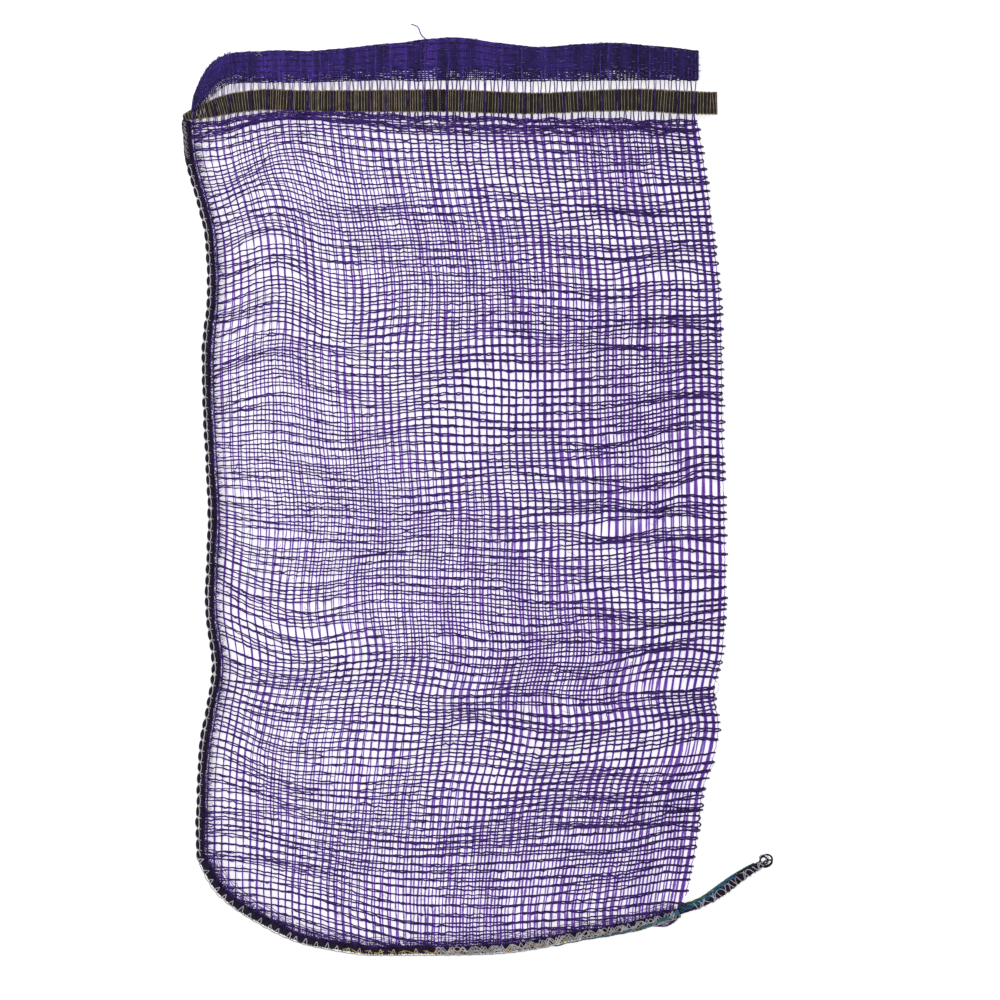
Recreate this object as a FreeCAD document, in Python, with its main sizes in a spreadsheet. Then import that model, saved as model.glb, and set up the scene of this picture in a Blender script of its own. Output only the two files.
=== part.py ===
import FreeCAD, Part
import math
import os

# A raschel-knit drawstring sack for balls, laid flat: two net layers joined by a fold on the right
# and by an overlock seam down the left side and along the bottom. The mouth is at the top (+Y), with
# a dense hem, an open channel under it, and a flat woven drawstring in the channel.
# Millimetres. +X across the bag, +Y towards the mouth, +Z up. The origin is under the bag's middle.

SIZES = {
    "net_thickness": 0.9,
    "layer_gap": 7.0,
    "fold_thickness": 0.9,
    "seam_width": 7.0,
    "core_width": 4.5,
    "chain_width": 0.6,
    "chain_height": 2.0,
    "stitch_height": 0.4,
    "thread_height": 1.0,
    "seam_clearance": 0.1,
    "tape_width": 13.7,
    "tape_thickness": 0.9,
    "tape_clearance": 0.3,
    "loop_end": 169.9,
    "tack_length": 7.0,
    "tack_width": 9.0,
    "hem_end": 156.5,
    "yarn_width": 1.0,
    "yarn_thickness": 0.5,
    "yarn_pitch": 10.0,
    "yarn_count": 29,
    "tail_diameter": 5.4,
    "tail_height": 3.0,
    "thread_diameter": 1.0,
    "thread_gap": 0.3,
    "end_loop_radius": 3.0,
    "end_loop_thread": 0.4,
}

# Outer edge of the seam: down the left side, round the corner and along the bottom. Every second
# point is the middle of an arc between its neighbours.
SEAM_PATH = [
    (-173.5, 239.5), (-166.0, 198.0), (-158.5, 155.0), (-159.3, 60.0), (-157.0, -30.0),
    (-157.0, -100.0), (-158.5, -150.0), (-162.5, -190.0), (-163.0, -230.0),
    (-146.0, -260.0), (-105.0, -285.0),
    (-40.0, -294.0), (30.0, -292.0), (90.0, -282.5), (146.0, -269.0),
]
SIDE = slice(0, 9)
CORNER = slice(8, 11)
BOTTOM = slice(10, 15)

# The folded right edge of the net, from the bottom to the mouth, as arcs in the same way.
FOLD_PATH = [(149.5, -255.5), (158.5, -205.0), (170.0, -130.0), (174.0, 5.0), (156.5, 240.0)]

# The hem band: its straight lower edge, the arc down to the side seam, and its crowned top edge.
HEM_LOWER = [(156.5, 267.0), (-138.0, 265.5)]
HEM_LOWER_END = [(-138.0, 265.5), (-151.0, 259.0), (-160.5, 248.5)]
HEM_UPPER = [
    (-166.5, 247.0), (-157.5, 270.5), (-136.0, 284.5), (-60.0, 287.0), (5.0, 293.8),
    (80.0, 291.0), (156.5, 285.5),
]

# Middle line of the drawstring tape, from its sewn end to the loop. The last stretch is straight.
TAPE_PATH = [
    (-165.0, 249.0), (-125.0, 252.6), (-80.0, 253.5), (-25.0, 253.0), (30.0, 251.0),
    (100.0, 251.0), (166.7, 251.0),
]

# The free tail of the seam's threads, from the end of the bottom seam. The points are the corners
# of straight runs, which are joined by tangent arcs.
TAIL_PATH = [(145.6, -264.3), (157.8, -261.4), (172.0, -252.6), (186.3, -241.6), (198.8, -234.6)]
ARC_SHARE = 0.45


def make_sheet(doc):
    """Write the driving dimensions to a spreadsheet, one alias each."""
    sheet = doc.addObject("Spreadsheet::Sheet", "Sizes")
    for row, (alias, value) in enumerate(SIZES.items(), start=1):
        sheet.set(f"A{row}", alias)
        sheet.set(f"B{row}", str(value))
        sheet.setAlias(f"B{row}", alias)
    doc.recompute()
    return sheet


def vector(point, z=0.0):
    return FreeCAD.Vector(point[0], point[1], z)


def offset(path, distance):
    """Move a path to its left by a distance, along the normal at each of its points."""
    moved = []
    for i, (x, y) in enumerate(path):
        before = path[max(i - 1, 0)]
        after = path[min(i + 1, len(path) - 1)]
        dx, dy = after[0] - before[0], after[1] - before[1]
        length = math.hypot(dx, dy)
        moved.append((x - dy / length * distance, y + dx / length * distance))
    return moved


def line(start, end):
    return Part.LineSegment(vector(start), vector(end))


def arcs(path):
    """Curves through a path whose every second point is an arc's middle. A straight one is a line."""
    curves = []
    for start, middle, end in zip(path[:-2:2], path[1:-1:2], path[2::2]):
        turn = (middle[0] - start[0]) * (end[1] - start[1]) - (middle[1] - start[1]) * (end[0] - start[0])
        if abs(turn) < 1e-6:
            curves.append(line(start, end))
        else:
            curves.append(Part.ArcOfCircle(vector(start), vector(middle), vector(end)))
    return curves


def strip(near, far):
    """Closed outline between two paths that run side by side."""
    back = far[::-1]
    return arcs(near) + [line(near[-1], back[0])] + arcs(back) + [line(back[-1], near[0])]


def origin_plane(body, role):
    return next(feature for feature in body.Origin.OriginFeatures if feature.Role == role)


def pad_outline(doc, name, curves, height, base):
    """A flat piece: an outline padded upwards. height and base are expressions on the sheet."""
    body = doc.addObject("PartDesign::Body", name)
    body.Label = name
    sketch = body.newObject("Sketcher::SketchObject", name + "_outline")
    sketch.AttachmentSupport = [(origin_plane(body, "XY_Plane"), "")]
    sketch.MapMode = "FlatFace"
    for curve in curves:
        sketch.addGeometry(curve, False)
    pad = body.newObject("PartDesign::Pad", name + "_pad")
    pad.Profile = sketch
    pad.setExpression("Length", height)
    body.setExpression("Placement.Base.z", base)
    return body


def net_outline(sheet):
    """One net layer: inside the seam on the left and bottom, folded edge on the right."""
    inner = offset(SEAM_PATH, sheet.seam_width + sheet.seam_clearance)
    top = line(FOLD_PATH[-1], inner[0])
    return arcs(inner) + [line(inner[-1], FOLD_PATH[0])] + arcs(FOLD_PATH) + [top]


def hem_outline():
    """The dense band round the mouth, narrowing to the side seam at its left end."""
    lower = [line(*HEM_LOWER)] + arcs(HEM_LOWER_END)
    upper = [line(HEM_LOWER_END[-1], HEM_UPPER[0])] + arcs(HEM_UPPER)
    return lower + upper + [line(HEM_UPPER[-1], HEM_LOWER[0])]


def make_layers(doc, sheet):
    """The back and front layers of the net and of its hem."""
    top_base = "Sizes.net_thickness + Sizes.layer_gap"
    pieces = []
    for side, base in (("back", "0"), ("front", top_base)):
        pieces.append(pad_outline(doc, "net_" + side, net_outline(sheet), "Sizes.net_thickness", base))
        pieces.append(pad_outline(doc, "hem_" + side, hem_outline(), "Sizes.net_thickness", base))
    return pieces


def make_folds(doc, sheet):
    """Where the fabric turns over at the right: the net's fold, and the hem's fold above it. The
    gap between the two lets the drawstring's loop out."""
    inner = offset(FOLD_PATH, sheet.fold_thickness)
    net_fold = pad_outline(doc, "net_fold", strip(FOLD_PATH, inner), "Sizes.layer_gap", "Sizes.net_thickness")
    hem_fold = doc.addObject("Part::Box", "hem_fold")
    hem_fold.Label = "hem_fold"
    hem_fold.setExpression("Length", "Sizes.fold_thickness")
    hem_fold.Width = HEM_UPPER[-1][1] - HEM_LOWER[0][1]
    hem_fold.setExpression("Height", "Sizes.layer_gap")
    hem_fold.Placement.Base = vector(HEM_LOWER[0])
    hem_fold.setExpression("Placement.Base.x", "Sizes.hem_end - Sizes.fold_thickness")
    hem_fold.setExpression("Placement.Base.z", "Sizes.net_thickness")
    return [net_fold, hem_fold]


def height_on_line(start, end, x):
    share = (x - start[0]) / (end[0] - start[0])
    return start[1] + share * (end[1] - start[1])


def make_channel_yarns(doc, sheet):
    """The vertical yarns that bridge the open channel between the net and the hem, in each layer."""
    net_corner = offset(SEAM_PATH, sheet.seam_width + sheet.seam_clearance)[0]
    middle = (sheet.net_thickness - sheet.yarn_thickness) / 2
    pieces = []
    for side, layer_base in (("back", 0.0), ("front", sheet.net_thickness + sheet.layer_gap)):
        yarns = []
        for i in range(int(sheet.yarn_count)):
            x = sheet.hem_end - (i + 0.5) * sheet.yarn_pitch
            low = height_on_line(FOLD_PATH[-1], net_corner, x) + sheet.seam_clearance
            high = height_on_line(*HEM_LOWER, x) - sheet.seam_clearance
            corner = FreeCAD.Vector(x - sheet.yarn_width / 2, low, layer_base + middle)
            yarns.append(Part.makeBox(sheet.yarn_width, high - low, sheet.yarn_thickness, corner))
        piece = doc.addObject("Part::Feature", "channel_yarns_" + side)
        piece.Label = "channel_yarns_" + side
        piece.Shape = Part.makeCompound(yarns)
        pieces.append(piece)
    return pieces


def make_seams(doc, sheet):
    """The seam's dark core in three stretches, and the threads that show on each of them."""
    full_height = "2 * Sizes.net_thickness + Sizes.layer_gap"
    middle_height = "Sizes.net_thickness + (Sizes.layer_gap - Sizes.chain_height) / 2"
    outer = SEAM_PATH
    chain_line = offset(SEAM_PATH, sheet.chain_width)
    core_line = offset(SEAM_PATH, sheet.seam_width - sheet.core_width)
    inner = offset(SEAM_PATH, sheet.seam_width)

    def stretch(name, part, near, far, height, base):
        return pad_outline(doc, name, strip(near[part], far[part]), height, base)

    return [
        stretch("side_seam_core", SIDE, core_line, inner, full_height, "0"),
        stretch("side_seam_looper", SIDE, chain_line, core_line, "Sizes.layer_gap", "Sizes.net_thickness"),
        stretch("side_seam_chain", SIDE, outer, chain_line, "Sizes.chain_height", middle_height),
        stretch("corner_seam_core", CORNER, outer, inner, full_height, "0"),
        stretch("corner_seam_stitches", CORNER, outer, inner, "Sizes.stitch_height", full_height),
        stretch("bottom_seam_core", BOTTOM, core_line, inner, full_height, "0"),
        stretch("bottom_seam_stitches", BOTTOM, core_line, inner, "Sizes.stitch_height", full_height),
        stretch("bottom_seam_yellow_thread", BOTTOM, chain_line, core_line, "Sizes.thread_height", middle_height),
    ]


def tape_run(sheet, base):
    """One flat run of the drawstring, from its sewn end to the loop."""
    near = offset(TAPE_PATH, -sheet.tape_width / 2)
    far = offset(TAPE_PATH, sheet.tape_width / 2)
    outline = Part.Wire([curve.toShape() for curve in strip(near, far)])
    outline.translate(FreeCAD.Vector(0, 0, base))
    return Part.Face(outline).extrude(FreeCAD.Vector(0, 0, sheet.tape_thickness))


def tape_loop(sheet, low, high):
    """The half turn that joins the two runs at the right, between the heights low and high."""
    x, y = TAPE_PATH[-1]
    edge = y - sheet.tape_width / 2
    middle = (low + high) / 2
    thickness = sheet.tape_thickness
    outer = [(x, low), (sheet.loop_end, middle), (x, high)]
    inner = [(x, high - thickness), (sheet.loop_end - thickness, middle), (x, low + thickness)]
    points = [[FreeCAD.Vector(px, edge, pz) for px, pz in arc] for arc in (outer, inner)]
    edges = [
        Part.Arc(*points[0]).toShape(),
        Part.makeLine(points[0][2], points[1][0]),
        Part.Arc(*points[1]).toShape(),
        Part.makeLine(points[1][2], points[0][0]),
    ]
    return Part.Face(Part.Wire(edges)).extrude(FreeCAD.Vector(0, sheet.tape_width, 0))


def make_drawstring(doc, sheet):
    """The woven tape, one run in each layer, and the stitches that hold its two ends together."""
    low = sheet.net_thickness + sheet.tape_clearance
    high = sheet.net_thickness + sheet.layer_gap - sheet.tape_clearance
    front = tape_run(sheet, high - sheet.tape_thickness)
    tape = doc.addObject("Part::Feature", "drawstring_tape")
    tape.Label = "drawstring_tape"
    tape.Shape = front.fuse([tape_loop(sheet, low, high), tape_run(sheet, low)]).removeSplitter()

    tack = doc.addObject("Part::Box", "drawstring_tack")
    tack.Label = "drawstring_tack"
    tack.setExpression("Length", "Sizes.tack_length")
    tack.setExpression("Width", "Sizes.tack_width")
    gap_between_runs = "Sizes.layer_gap - 2 * (Sizes.tape_clearance + Sizes.tape_thickness)"
    tack.setExpression("Height", gap_between_runs)
    tack.Placement.Base.x = TAPE_PATH[0][0] + 1.0
    tack.setExpression("Placement.Base.y", f"{TAPE_PATH[0][1]} - Sizes.tack_width / 2")
    tack_base = "Sizes.net_thickness + Sizes.tape_clearance + Sizes.tape_thickness"
    tack.setExpression("Placement.Base.z", tack_base)
    return [tape, tack]


def rounded_path(corners):
    """A wire of straight runs joined by tangent arcs as large as the runs allow, with its radii."""
    edges, radii = [], []
    start = corners[0]
    for before, corner, after in zip(corners, corners[1:], corners[2:]):
        into, out = corner - before, after - corner
        half_turn = into.getAngle(out) / 2
        reach = ARC_SHARE * min(into.Length, out.Length)
        radius = reach / math.tan(half_turn)
        into.normalize()
        out.normalize()
        arc_start, arc_end = corner - into * reach, corner + out * reach
        towards_centre = (out - into).normalize()
        inset = radius / math.cos(half_turn) - radius
        edges.append(Part.LineSegment(start, arc_start).toShape())
        edges.append(Part.Arc(arc_start, corner + towards_centre * inset, arc_end).toShape())
        radii.append(radius)
        start = arc_end
    edges.append(Part.LineSegment(start, corners[-1]).toShape())
    return Part.Wire(edges), radii


def make_tube(doc, name, path, height, diameter):
    """A round thread or cord along a path at one height."""
    corners = [vector(point, height) for point in path]
    wire, radii = rounded_path(corners)
    circle = Part.Circle(corners[0], corners[1] - corners[0], diameter / 2)
    profile = Part.Wire([circle.toShape()])
    tube = doc.addObject("Part::Feature", name)
    tube.Label = name
    tube.Shape = wire.makePipeShell([profile], True, True)
    expected = math.pi * diameter ** 2 / 4 * wire.Length
    print(name, "length", round(wire.Length, 1), "radii", [round(radius, 1) for radius in radii])
    if abs(tube.Shape.Volume - expected) > 0.01 * expected:
        raise RuntimeError(f"{name} has volume {tube.Shape.Volume}, not {expected}")
    return tube


def make_tail(doc, sheet):
    """The tail: a dark core, the threads beside it, and the loose loop at its end."""
    height = sheet.tail_height
    reach = (sheet.tail_diameter + sheet.thread_diameter) / 2 + sheet.thread_gap
    slanted = reach * math.sqrt(0.5)
    thread = sheet.thread_diameter
    pieces = [
        make_tube(doc, "tail_core", TAIL_PATH, height, sheet.tail_diameter),
        make_tube(doc, "tail_chain", offset(TAIL_PATH, slanted), height + slanted, thread),
        make_tube(doc, "tail_blue_thread", offset(TAIL_PATH, -reach), height, thread),
        make_tube(doc, "tail_green_thread", offset(TAIL_PATH, -slanted), height + slanted, thread),
    ]
    end, before = vector(TAIL_PATH[-1], height), vector(TAIL_PATH[-2], height)
    outwards = (end - before).normalize()
    loop = doc.addObject("Part::Torus", "tail_end_loop")
    loop.Label = "tail_end_loop"
    loop.setExpression("Radius1", "Sizes.end_loop_radius")
    loop.setExpression("Radius2", "Sizes.end_loop_thread")
    loop.Placement.Base = end + outwards * (sheet.end_loop_radius + sheet.end_loop_thread + sheet.thread_gap)
    return pieces + [loop]


def check(doc, pieces):
    """Stop if any feature failed or any piece is missing or not valid."""
    for feature in doc.Objects:
        if "Invalid" in feature.State or "Error" in feature.State:
            raise RuntimeError(f"{feature.Name} failed: {feature.State}")
    for piece in pieces:
        if piece.Shape.isNull() or not piece.Shape.isValid() or not piece.Shape.Solids:
            raise RuntimeError(f"{piece.Label} has no valid solid")


def export(pieces):
    """Write each piece to its own file, named after the piece."""
    os.makedirs("parts", exist_ok=True)
    for piece in pieces:
        piece.Shape.exportStep(f"parts/{piece.Label}.step")
        box = piece.Shape.BoundBox
        print(f"{piece.Label:28s} {len(piece.Shape.Solids):3d} solids {piece.Shape.Volume:10.1f} mm3",
              [round(v, 1) for v in (box.XMin, box.XMax, box.YMin, box.YMax, box.ZMin, box.ZMax)])


def main():
    doc = FreeCAD.newDocument("mesh_ball_bag")
    sheet = make_sheet(doc)
    pieces = make_layers(doc, sheet)
    pieces += make_folds(doc, sheet)
    pieces += make_channel_yarns(doc, sheet)
    pieces += make_seams(doc, sheet)
    pieces += make_drawstring(doc, sheet)
    pieces += make_tail(doc, sheet)
    doc.recompute()
    check(doc, pieces)
    export(pieces)


main()
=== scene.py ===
import math
import bpy
import numpy as np
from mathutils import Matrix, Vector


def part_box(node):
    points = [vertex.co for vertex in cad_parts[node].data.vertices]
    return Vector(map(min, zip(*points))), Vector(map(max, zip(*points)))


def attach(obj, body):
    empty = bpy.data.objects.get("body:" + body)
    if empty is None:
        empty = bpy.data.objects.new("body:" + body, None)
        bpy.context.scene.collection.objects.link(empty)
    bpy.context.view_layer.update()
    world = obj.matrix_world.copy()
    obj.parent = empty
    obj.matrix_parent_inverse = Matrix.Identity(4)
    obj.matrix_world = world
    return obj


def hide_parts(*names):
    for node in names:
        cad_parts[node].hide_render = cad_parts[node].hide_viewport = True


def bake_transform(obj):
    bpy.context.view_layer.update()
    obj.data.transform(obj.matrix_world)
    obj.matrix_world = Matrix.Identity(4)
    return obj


# A raschel-knit drawstring ball sack, lying flat. Every yarn of the two net layers is a real tube or
# tape. Sizes below are in millimetres unless a name says otherwise, and become metres in add_mesh.

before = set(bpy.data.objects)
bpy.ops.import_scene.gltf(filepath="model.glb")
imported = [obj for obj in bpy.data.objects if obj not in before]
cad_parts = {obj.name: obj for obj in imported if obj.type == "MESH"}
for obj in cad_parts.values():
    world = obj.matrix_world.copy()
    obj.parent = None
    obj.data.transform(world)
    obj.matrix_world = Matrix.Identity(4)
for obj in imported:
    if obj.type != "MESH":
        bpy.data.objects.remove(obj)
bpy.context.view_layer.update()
MM = 0.001
TAU = 2 * math.pi
rng = np.random.default_rng(11)


# -------- places taken from the frame
def node_box(node):
    """Lowest and highest corners of a CAD node, in millimetres."""
    low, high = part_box(node)
    return np.array(low) / MM, np.array(high) / MM


def middle_height(node):
    """Height of the middle of a CAD node, in millimetres."""
    low, high = node_box(node)
    return (low[2] + high[2]) / 2


BACK, FRONT = "back", "front"
LAYER_Z = {BACK: middle_height("net_back"), FRONT: middle_height("net_front")}
SEAM_Z = middle_height("side_seam_core")
TAPE_LOW, TAPE_HIGH = node_box("drawstring_tape")
TAIL_Z = middle_height("tail_core")

# -------- the bag's outline
# Outer edge of the seam, down the left side, round the corner and along the bottom.
SEAM_EDGE = [
    (-173.5, 240), (-171, 215), (-163.5, 187), (-158.4, 164), (-157.3, 128), (-160.4, 90),
    (-159.2, 41.5), (-156.6, -11.5), (-158.4, -69), (-154, -108), (-158.4, -137), (-162.8, -168),
    (-164.2, -222), (-160.5, -238), (-150, -255), (-128, -271), (-99.6, -285), (-63, -292.6),
    (-39, -293.6), (21, -293), (51, -290), (80.5, -284.2), (110, -279.5), (130, -274.5), (147, -269),
]
# The folded edge of the net, from the bottom to the mouth.
FOLD_EDGE = [
    (147.5, -263), (151, -245), (155, -223.5), (160, -187), (166, -169), (169.9, -147), (166.8, -127),
    (168.6, -114), (172.2, -98), (174, -55), (173.2, 0), (172.4, 36), (171.8, 80), (170.5, 126),
    (167, 160), (163.5, 190), (156.5, 240),
]
# Top edge of the net, under the open channel, from left to right.
NET_TOP = [
    (-170, 236), (-161.6, 238), (-145, 240), (-132, 242.6), (-113, 245.4), (-97, 245.8), (-68, 244.6),
    (-30, 242.6), (0, 241.6), (69, 241), (110, 240.6), (158, 239),
]
# The hem's lower and upper edges, in matching pairs from the side seam to the right end.
HEM_LOW = [
    (-164.5, 247.5), (-160.5, 250.5), (-156, 254.5), (-150.5, 259.5), (-145, 263.5), (-136, 265.3),
    (-117.5, 265.6), (-90, 265.8), (-60, 266.7), (-30, 267.2), (2, 267), (28, 267.3), (56, 266.8),
    (85, 267.2), (107, 267), (132, 267.4), (156.5, 267),
]
HEM_HIGH = [
    (-166.3, 247.2), (-164.8, 256), (-160.3, 267), (-154.5, 276), (-146.5, 281.5), (-137.5, 284),
    (-118.5, 285), (-90, 285), (-60, 287.5), (-30, 290.8), (2, 293.6), (28, 290.5), (56, 287.6),
    (85, 289.5), (107, 290.4), (132, 287.5), (156.5, 285.3),
]
# Middle line of the drawstring's front run, and its half width there, from left to right.
TAPE_LINE = [
    (-172, 242.4, 1.6), (-166, 244.4, 3.4), (-160, 246.4, 4.8), (-153, 248.2, 5.8), (-145, 250.5, 6.5),
    (-134, 252.5, 6.7), (-118, 253.9, 6.8), (-97, 253.2, 6.8), (-50, 253, 7.1), (-1, 253.2, 7.3),
    (30.7, 252, 7.1), (59.4, 251.6, 6.8), (88, 253, 6.9), (120, 253.6, 7.2), (145.6, 252.2, 7.5),
    (166, 251.6, 7.2),
]


def spans(points, per_span):
    """Catmull-Rom curve with the same number of points in every span, so that pairs stay matched."""
    p = np.array(points, float)
    p = np.vstack([2 * p[0] - p[1], p, 2 * p[-1] - p[-2]])
    t = np.linspace(0, 1, per_span, endpoint=False)[:, None]
    out = []
    for a, b, c, d in zip(p, p[1:], p[2:], p[3:]):
        out.append(0.5 * (2 * b + (c - a) * t + (2 * a - 5 * b + 4 * c - d) * t ** 2
                          + (3 * b - a - 3 * c + d) * t ** 3))
    return np.vstack(out + [p[-2:-1]])


def smooth(points, step):
    """Catmull-Rom curve through the points, resampled at an even step along its length."""
    return resample(spans(points, 24), step)


def arc_length(line):
    """Length along a line, seen from above, at each of its points."""
    return np.concatenate([[0], np.cumsum(np.linalg.norm(np.diff(line[:, :2], axis=0), axis=1))])


def resample(line, step):
    """The same line with points at an even step along its length."""
    length = arc_length(line)
    count = max(2, int(round(length[-1] / step)) + 1)
    at = np.linspace(0, length[-1], count)
    return np.stack([np.interp(at, length, line[:, k]) for k in range(line.shape[1])], axis=1)


def inward(line, distance):
    """Move a 2-D line to its left by a distance, which may vary along it."""
    tangent = np.gradient(line, axis=0)
    tangent /= np.linalg.norm(tangent, axis=1)[:, None]
    normal = np.stack([-tangent[:, 1], tangent[:, 0]], axis=1)
    return line + normal * np.reshape(distance, (-1, 1))


SEAM_WIDTH = 7.0
seam_line = smooth(SEAM_EDGE, 1.0)
seam_inner = inward(seam_line, SEAM_WIDTH - 2.0)
fold_line = smooth(FOLD_EDGE, 2.0)
net_top_line = smooth(NET_TOP, 2.0)
# The seam's inner edge as the left bound of the rows and the lower bound of the columns.
lowest = int(np.argmin(seam_inner[:, 1]))
side_edge = seam_inner[:lowest][::-1]
corner_start = int(np.argmin(np.abs(seam_inner[:, 1] + 225.0)))
bottom_edge = seam_inner[corner_start:]


def left_of_row(y):
    """Where a row at y begins, at the side seam."""
    return np.interp(y, side_edge[:, 1], side_edge[:, 0])


def right_of_row(y):
    """Where a row at y ends, at the fold."""
    return np.interp(y, fold_line[:, 1], fold_line[:, 0])


def top_at(x):
    """The net's top edge above x."""
    return np.interp(x, net_top_line[:, 0], net_top_line[:, 1])


def bottom_at(x):
    """The bottom seam's inner edge below x."""
    return np.interp(x, bottom_edge[:, 0], bottom_edge[:, 1])


def column_left(y):
    """The left bound that the columns follow: the side seam, carried straight down past the corner."""
    return np.interp(np.maximum(y, -200.0), side_edge[:, 1], side_edge[:, 0])


# -------- how the cloth is pushed about
ROW_PITCH, COLUMN_COUNT = 5.15, 66
# Broad rises and sags of the rows: x, y, reach along x, reach along y, rise.
ROW_WAVES = [
    (-110, 130, 26, 90, 9), (-160, 120, 26, 80, -4), (-62, 120, 34, 80, -4), (150, 60, 40, 60, 4),
    (60, 60, 60, 40, -2), (-162, -66, 27, 60, 13), (-98, -75, 34, 45, -6), (-25, -90, 36, 60, 1.5),
    (60, -110, 60, 60, -4), (150, -30, 30, 25, 3), (165, -160, 34, 40, 6), (-155, -170, 28, 50, 9),
    (-90, -190, 50, 50, -5), (20, -200, 70, 40, 3), (-155, 215, 24, 22, -4), (-90, 212, 30, 22, 3),
    (-60, 20, 50, 30, -4), (165, 30, 26, 30, 5),
]
# Places where the rows have parted, or crowded together where the height is negative:
# x, y, half length, half height.
ROW_GAPS = [
    (105, -16, 28, 4), (128, 0.5, 28, 3.2), (164, 4, 20, 4.2), (141.8, -19, 28, 3),
    (102.8, -35, 24, 1.8), (130, 20.7, 28, 2), (139, 53, 32, 1.5), (101, 36, 22, 1.5),
    (-90, -79.5, 40, 3.2), (-86, -66, 36, 2.4), (-96, -50, 40, 1.8), (-132, -62, 18, 1.5),
    (-120, -88, 36, 2), (134, 143, 32, 2.4), (22, 85.6, 48, 0.9), (140, -123, 32, 2.8),
    (152, -104, 22, 1.4), (-20, -123, 24, 1.5), (11.5, -145, 16, 2), (154, -161, 22, 2.2),
    (2, -237, 34, 1.5), (2, -91, 16, 2), (-129, -206, 20, 1.5), (-129, 190, 20, 1.8),
    (-119, 159, 30, 2.4), (-113, 138, 24, 2), (-107, 103, 28, 2.2), (56, 196, 26, 1),
    (73, -34, 20, 1.4), (-60, 146, 30, 1.6), (30, 128, 26, 0.8), (-20, -27, 14, 1), (-60, -174, 22, 1),
    (80, 14, 40, -2.2), (-38, -32.5, 30, -1.6), (150, -29, 26, -2.6), (125, -8, 30, -1.8),
    (152, -176, 28, -2.4), (150, -190, 28, -2.4), (146, -208, 26, -2.2), (-110, -122, 40, -1.8),
    (120, 183, 42, -1.2), (122, 96, 42, -2), (140, 36, 30, -1.4), (-70, 210, 40, -1),
    (70, -64, 40, -1.2), (-80, 70, 30, -1.2), (70, -10, 36, -1.6), (150, -80, 30, -1.6),
    (150, -140, 26, -1.8), (140, 225, 30, -1.6), (150, 205, 26, -1.2),
]
# Broad areas where the rows lie closer together, and a little wider apart just above and below:
# x, y, half length, half height, how far they are drawn in.
ROW_CROWDS = [
    (150, -197, 80, 24, 9), (145, -82, 60, 20, 5), (145, 108, 60, 16, 4.5), (130, 224, 70, 14, 3.5),
    (30, -215, 90, 24, 5),
]


def bump(value, centre, reach):
    """A smooth bump of height 1 round the centre."""
    return np.exp(-((value - centre) / reach) ** 2)


class Ripple:
    """Smooth seeded noise on the plane, from a few waves of about one wavelength."""

    def __init__(self, wavelength, size, waves=7, slant=math.pi):
        """Draw the waves. Their directions lie within the slant of straight up the bag."""
        angle = math.pi / 2 + rng.uniform(-slant, slant, waves)
        rate = TAU / (wavelength * rng.uniform(0.7, 1.5, waves))
        self.kx, self.ky = rate * np.cos(angle), rate * np.sin(angle)
        self.phase = rng.uniform(0, TAU, waves)
        self.size = size * math.sqrt(2 / waves)

    def __call__(self, x, y):
        """The noise at points of the plane."""
        x, y = np.asarray(x, float)[..., None], np.asarray(y, float)[..., None]
        return self.size * np.sin(x * self.kx + y * self.ky + self.phase).sum(axis=-1)


SHARED_ROWS = Ripple(70.0, 0.8)
SHARED_STREAKS = Ripple(24.0, 0.62, 16, 0.3)
SHARED_COLUMNS = Ripple(90.0, 0.6)


def apart(x, y):
    """How far the layers' yarns have slipped from each other: little where one layer's yarns cover the
    other's and at the fold, more in the fold's lower part, and 1 elsewhere."""
    together = bump(x, 34.0, 62.0) * bump(y, 66.0, 46.0)
    from_fold = np.clip((right_of_row(y) - x) / 40.0, 0, 1)
    low = np.clip((-110.0 - y) / 60.0, 0, 1)
    return (1 - 0.95 * together) * (0.4 + 0.6 * np.maximum(from_fold, low))


def restless(x):
    """How strongly the rows wander: calm in the middle of the cloth, most towards its two sides."""
    side = np.clip(np.abs(x + 15.0) / 125.0, 0, 1)
    return 0.35 + 0.7 * side ** 2


def low_fold(share, y):
    """1 in the net's lower part near the fold, and 0 away from it."""
    return np.clip((-120.0 - y) / 50.0, 0, 1) * np.clip((share - 0.55) * 4.0, 0, 1)


# The x at which the yarns' width and thickness begin to grow, and the length over which they do so.
NET_LEFT, NET_WIDTH = -160.0, 330.0


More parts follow.
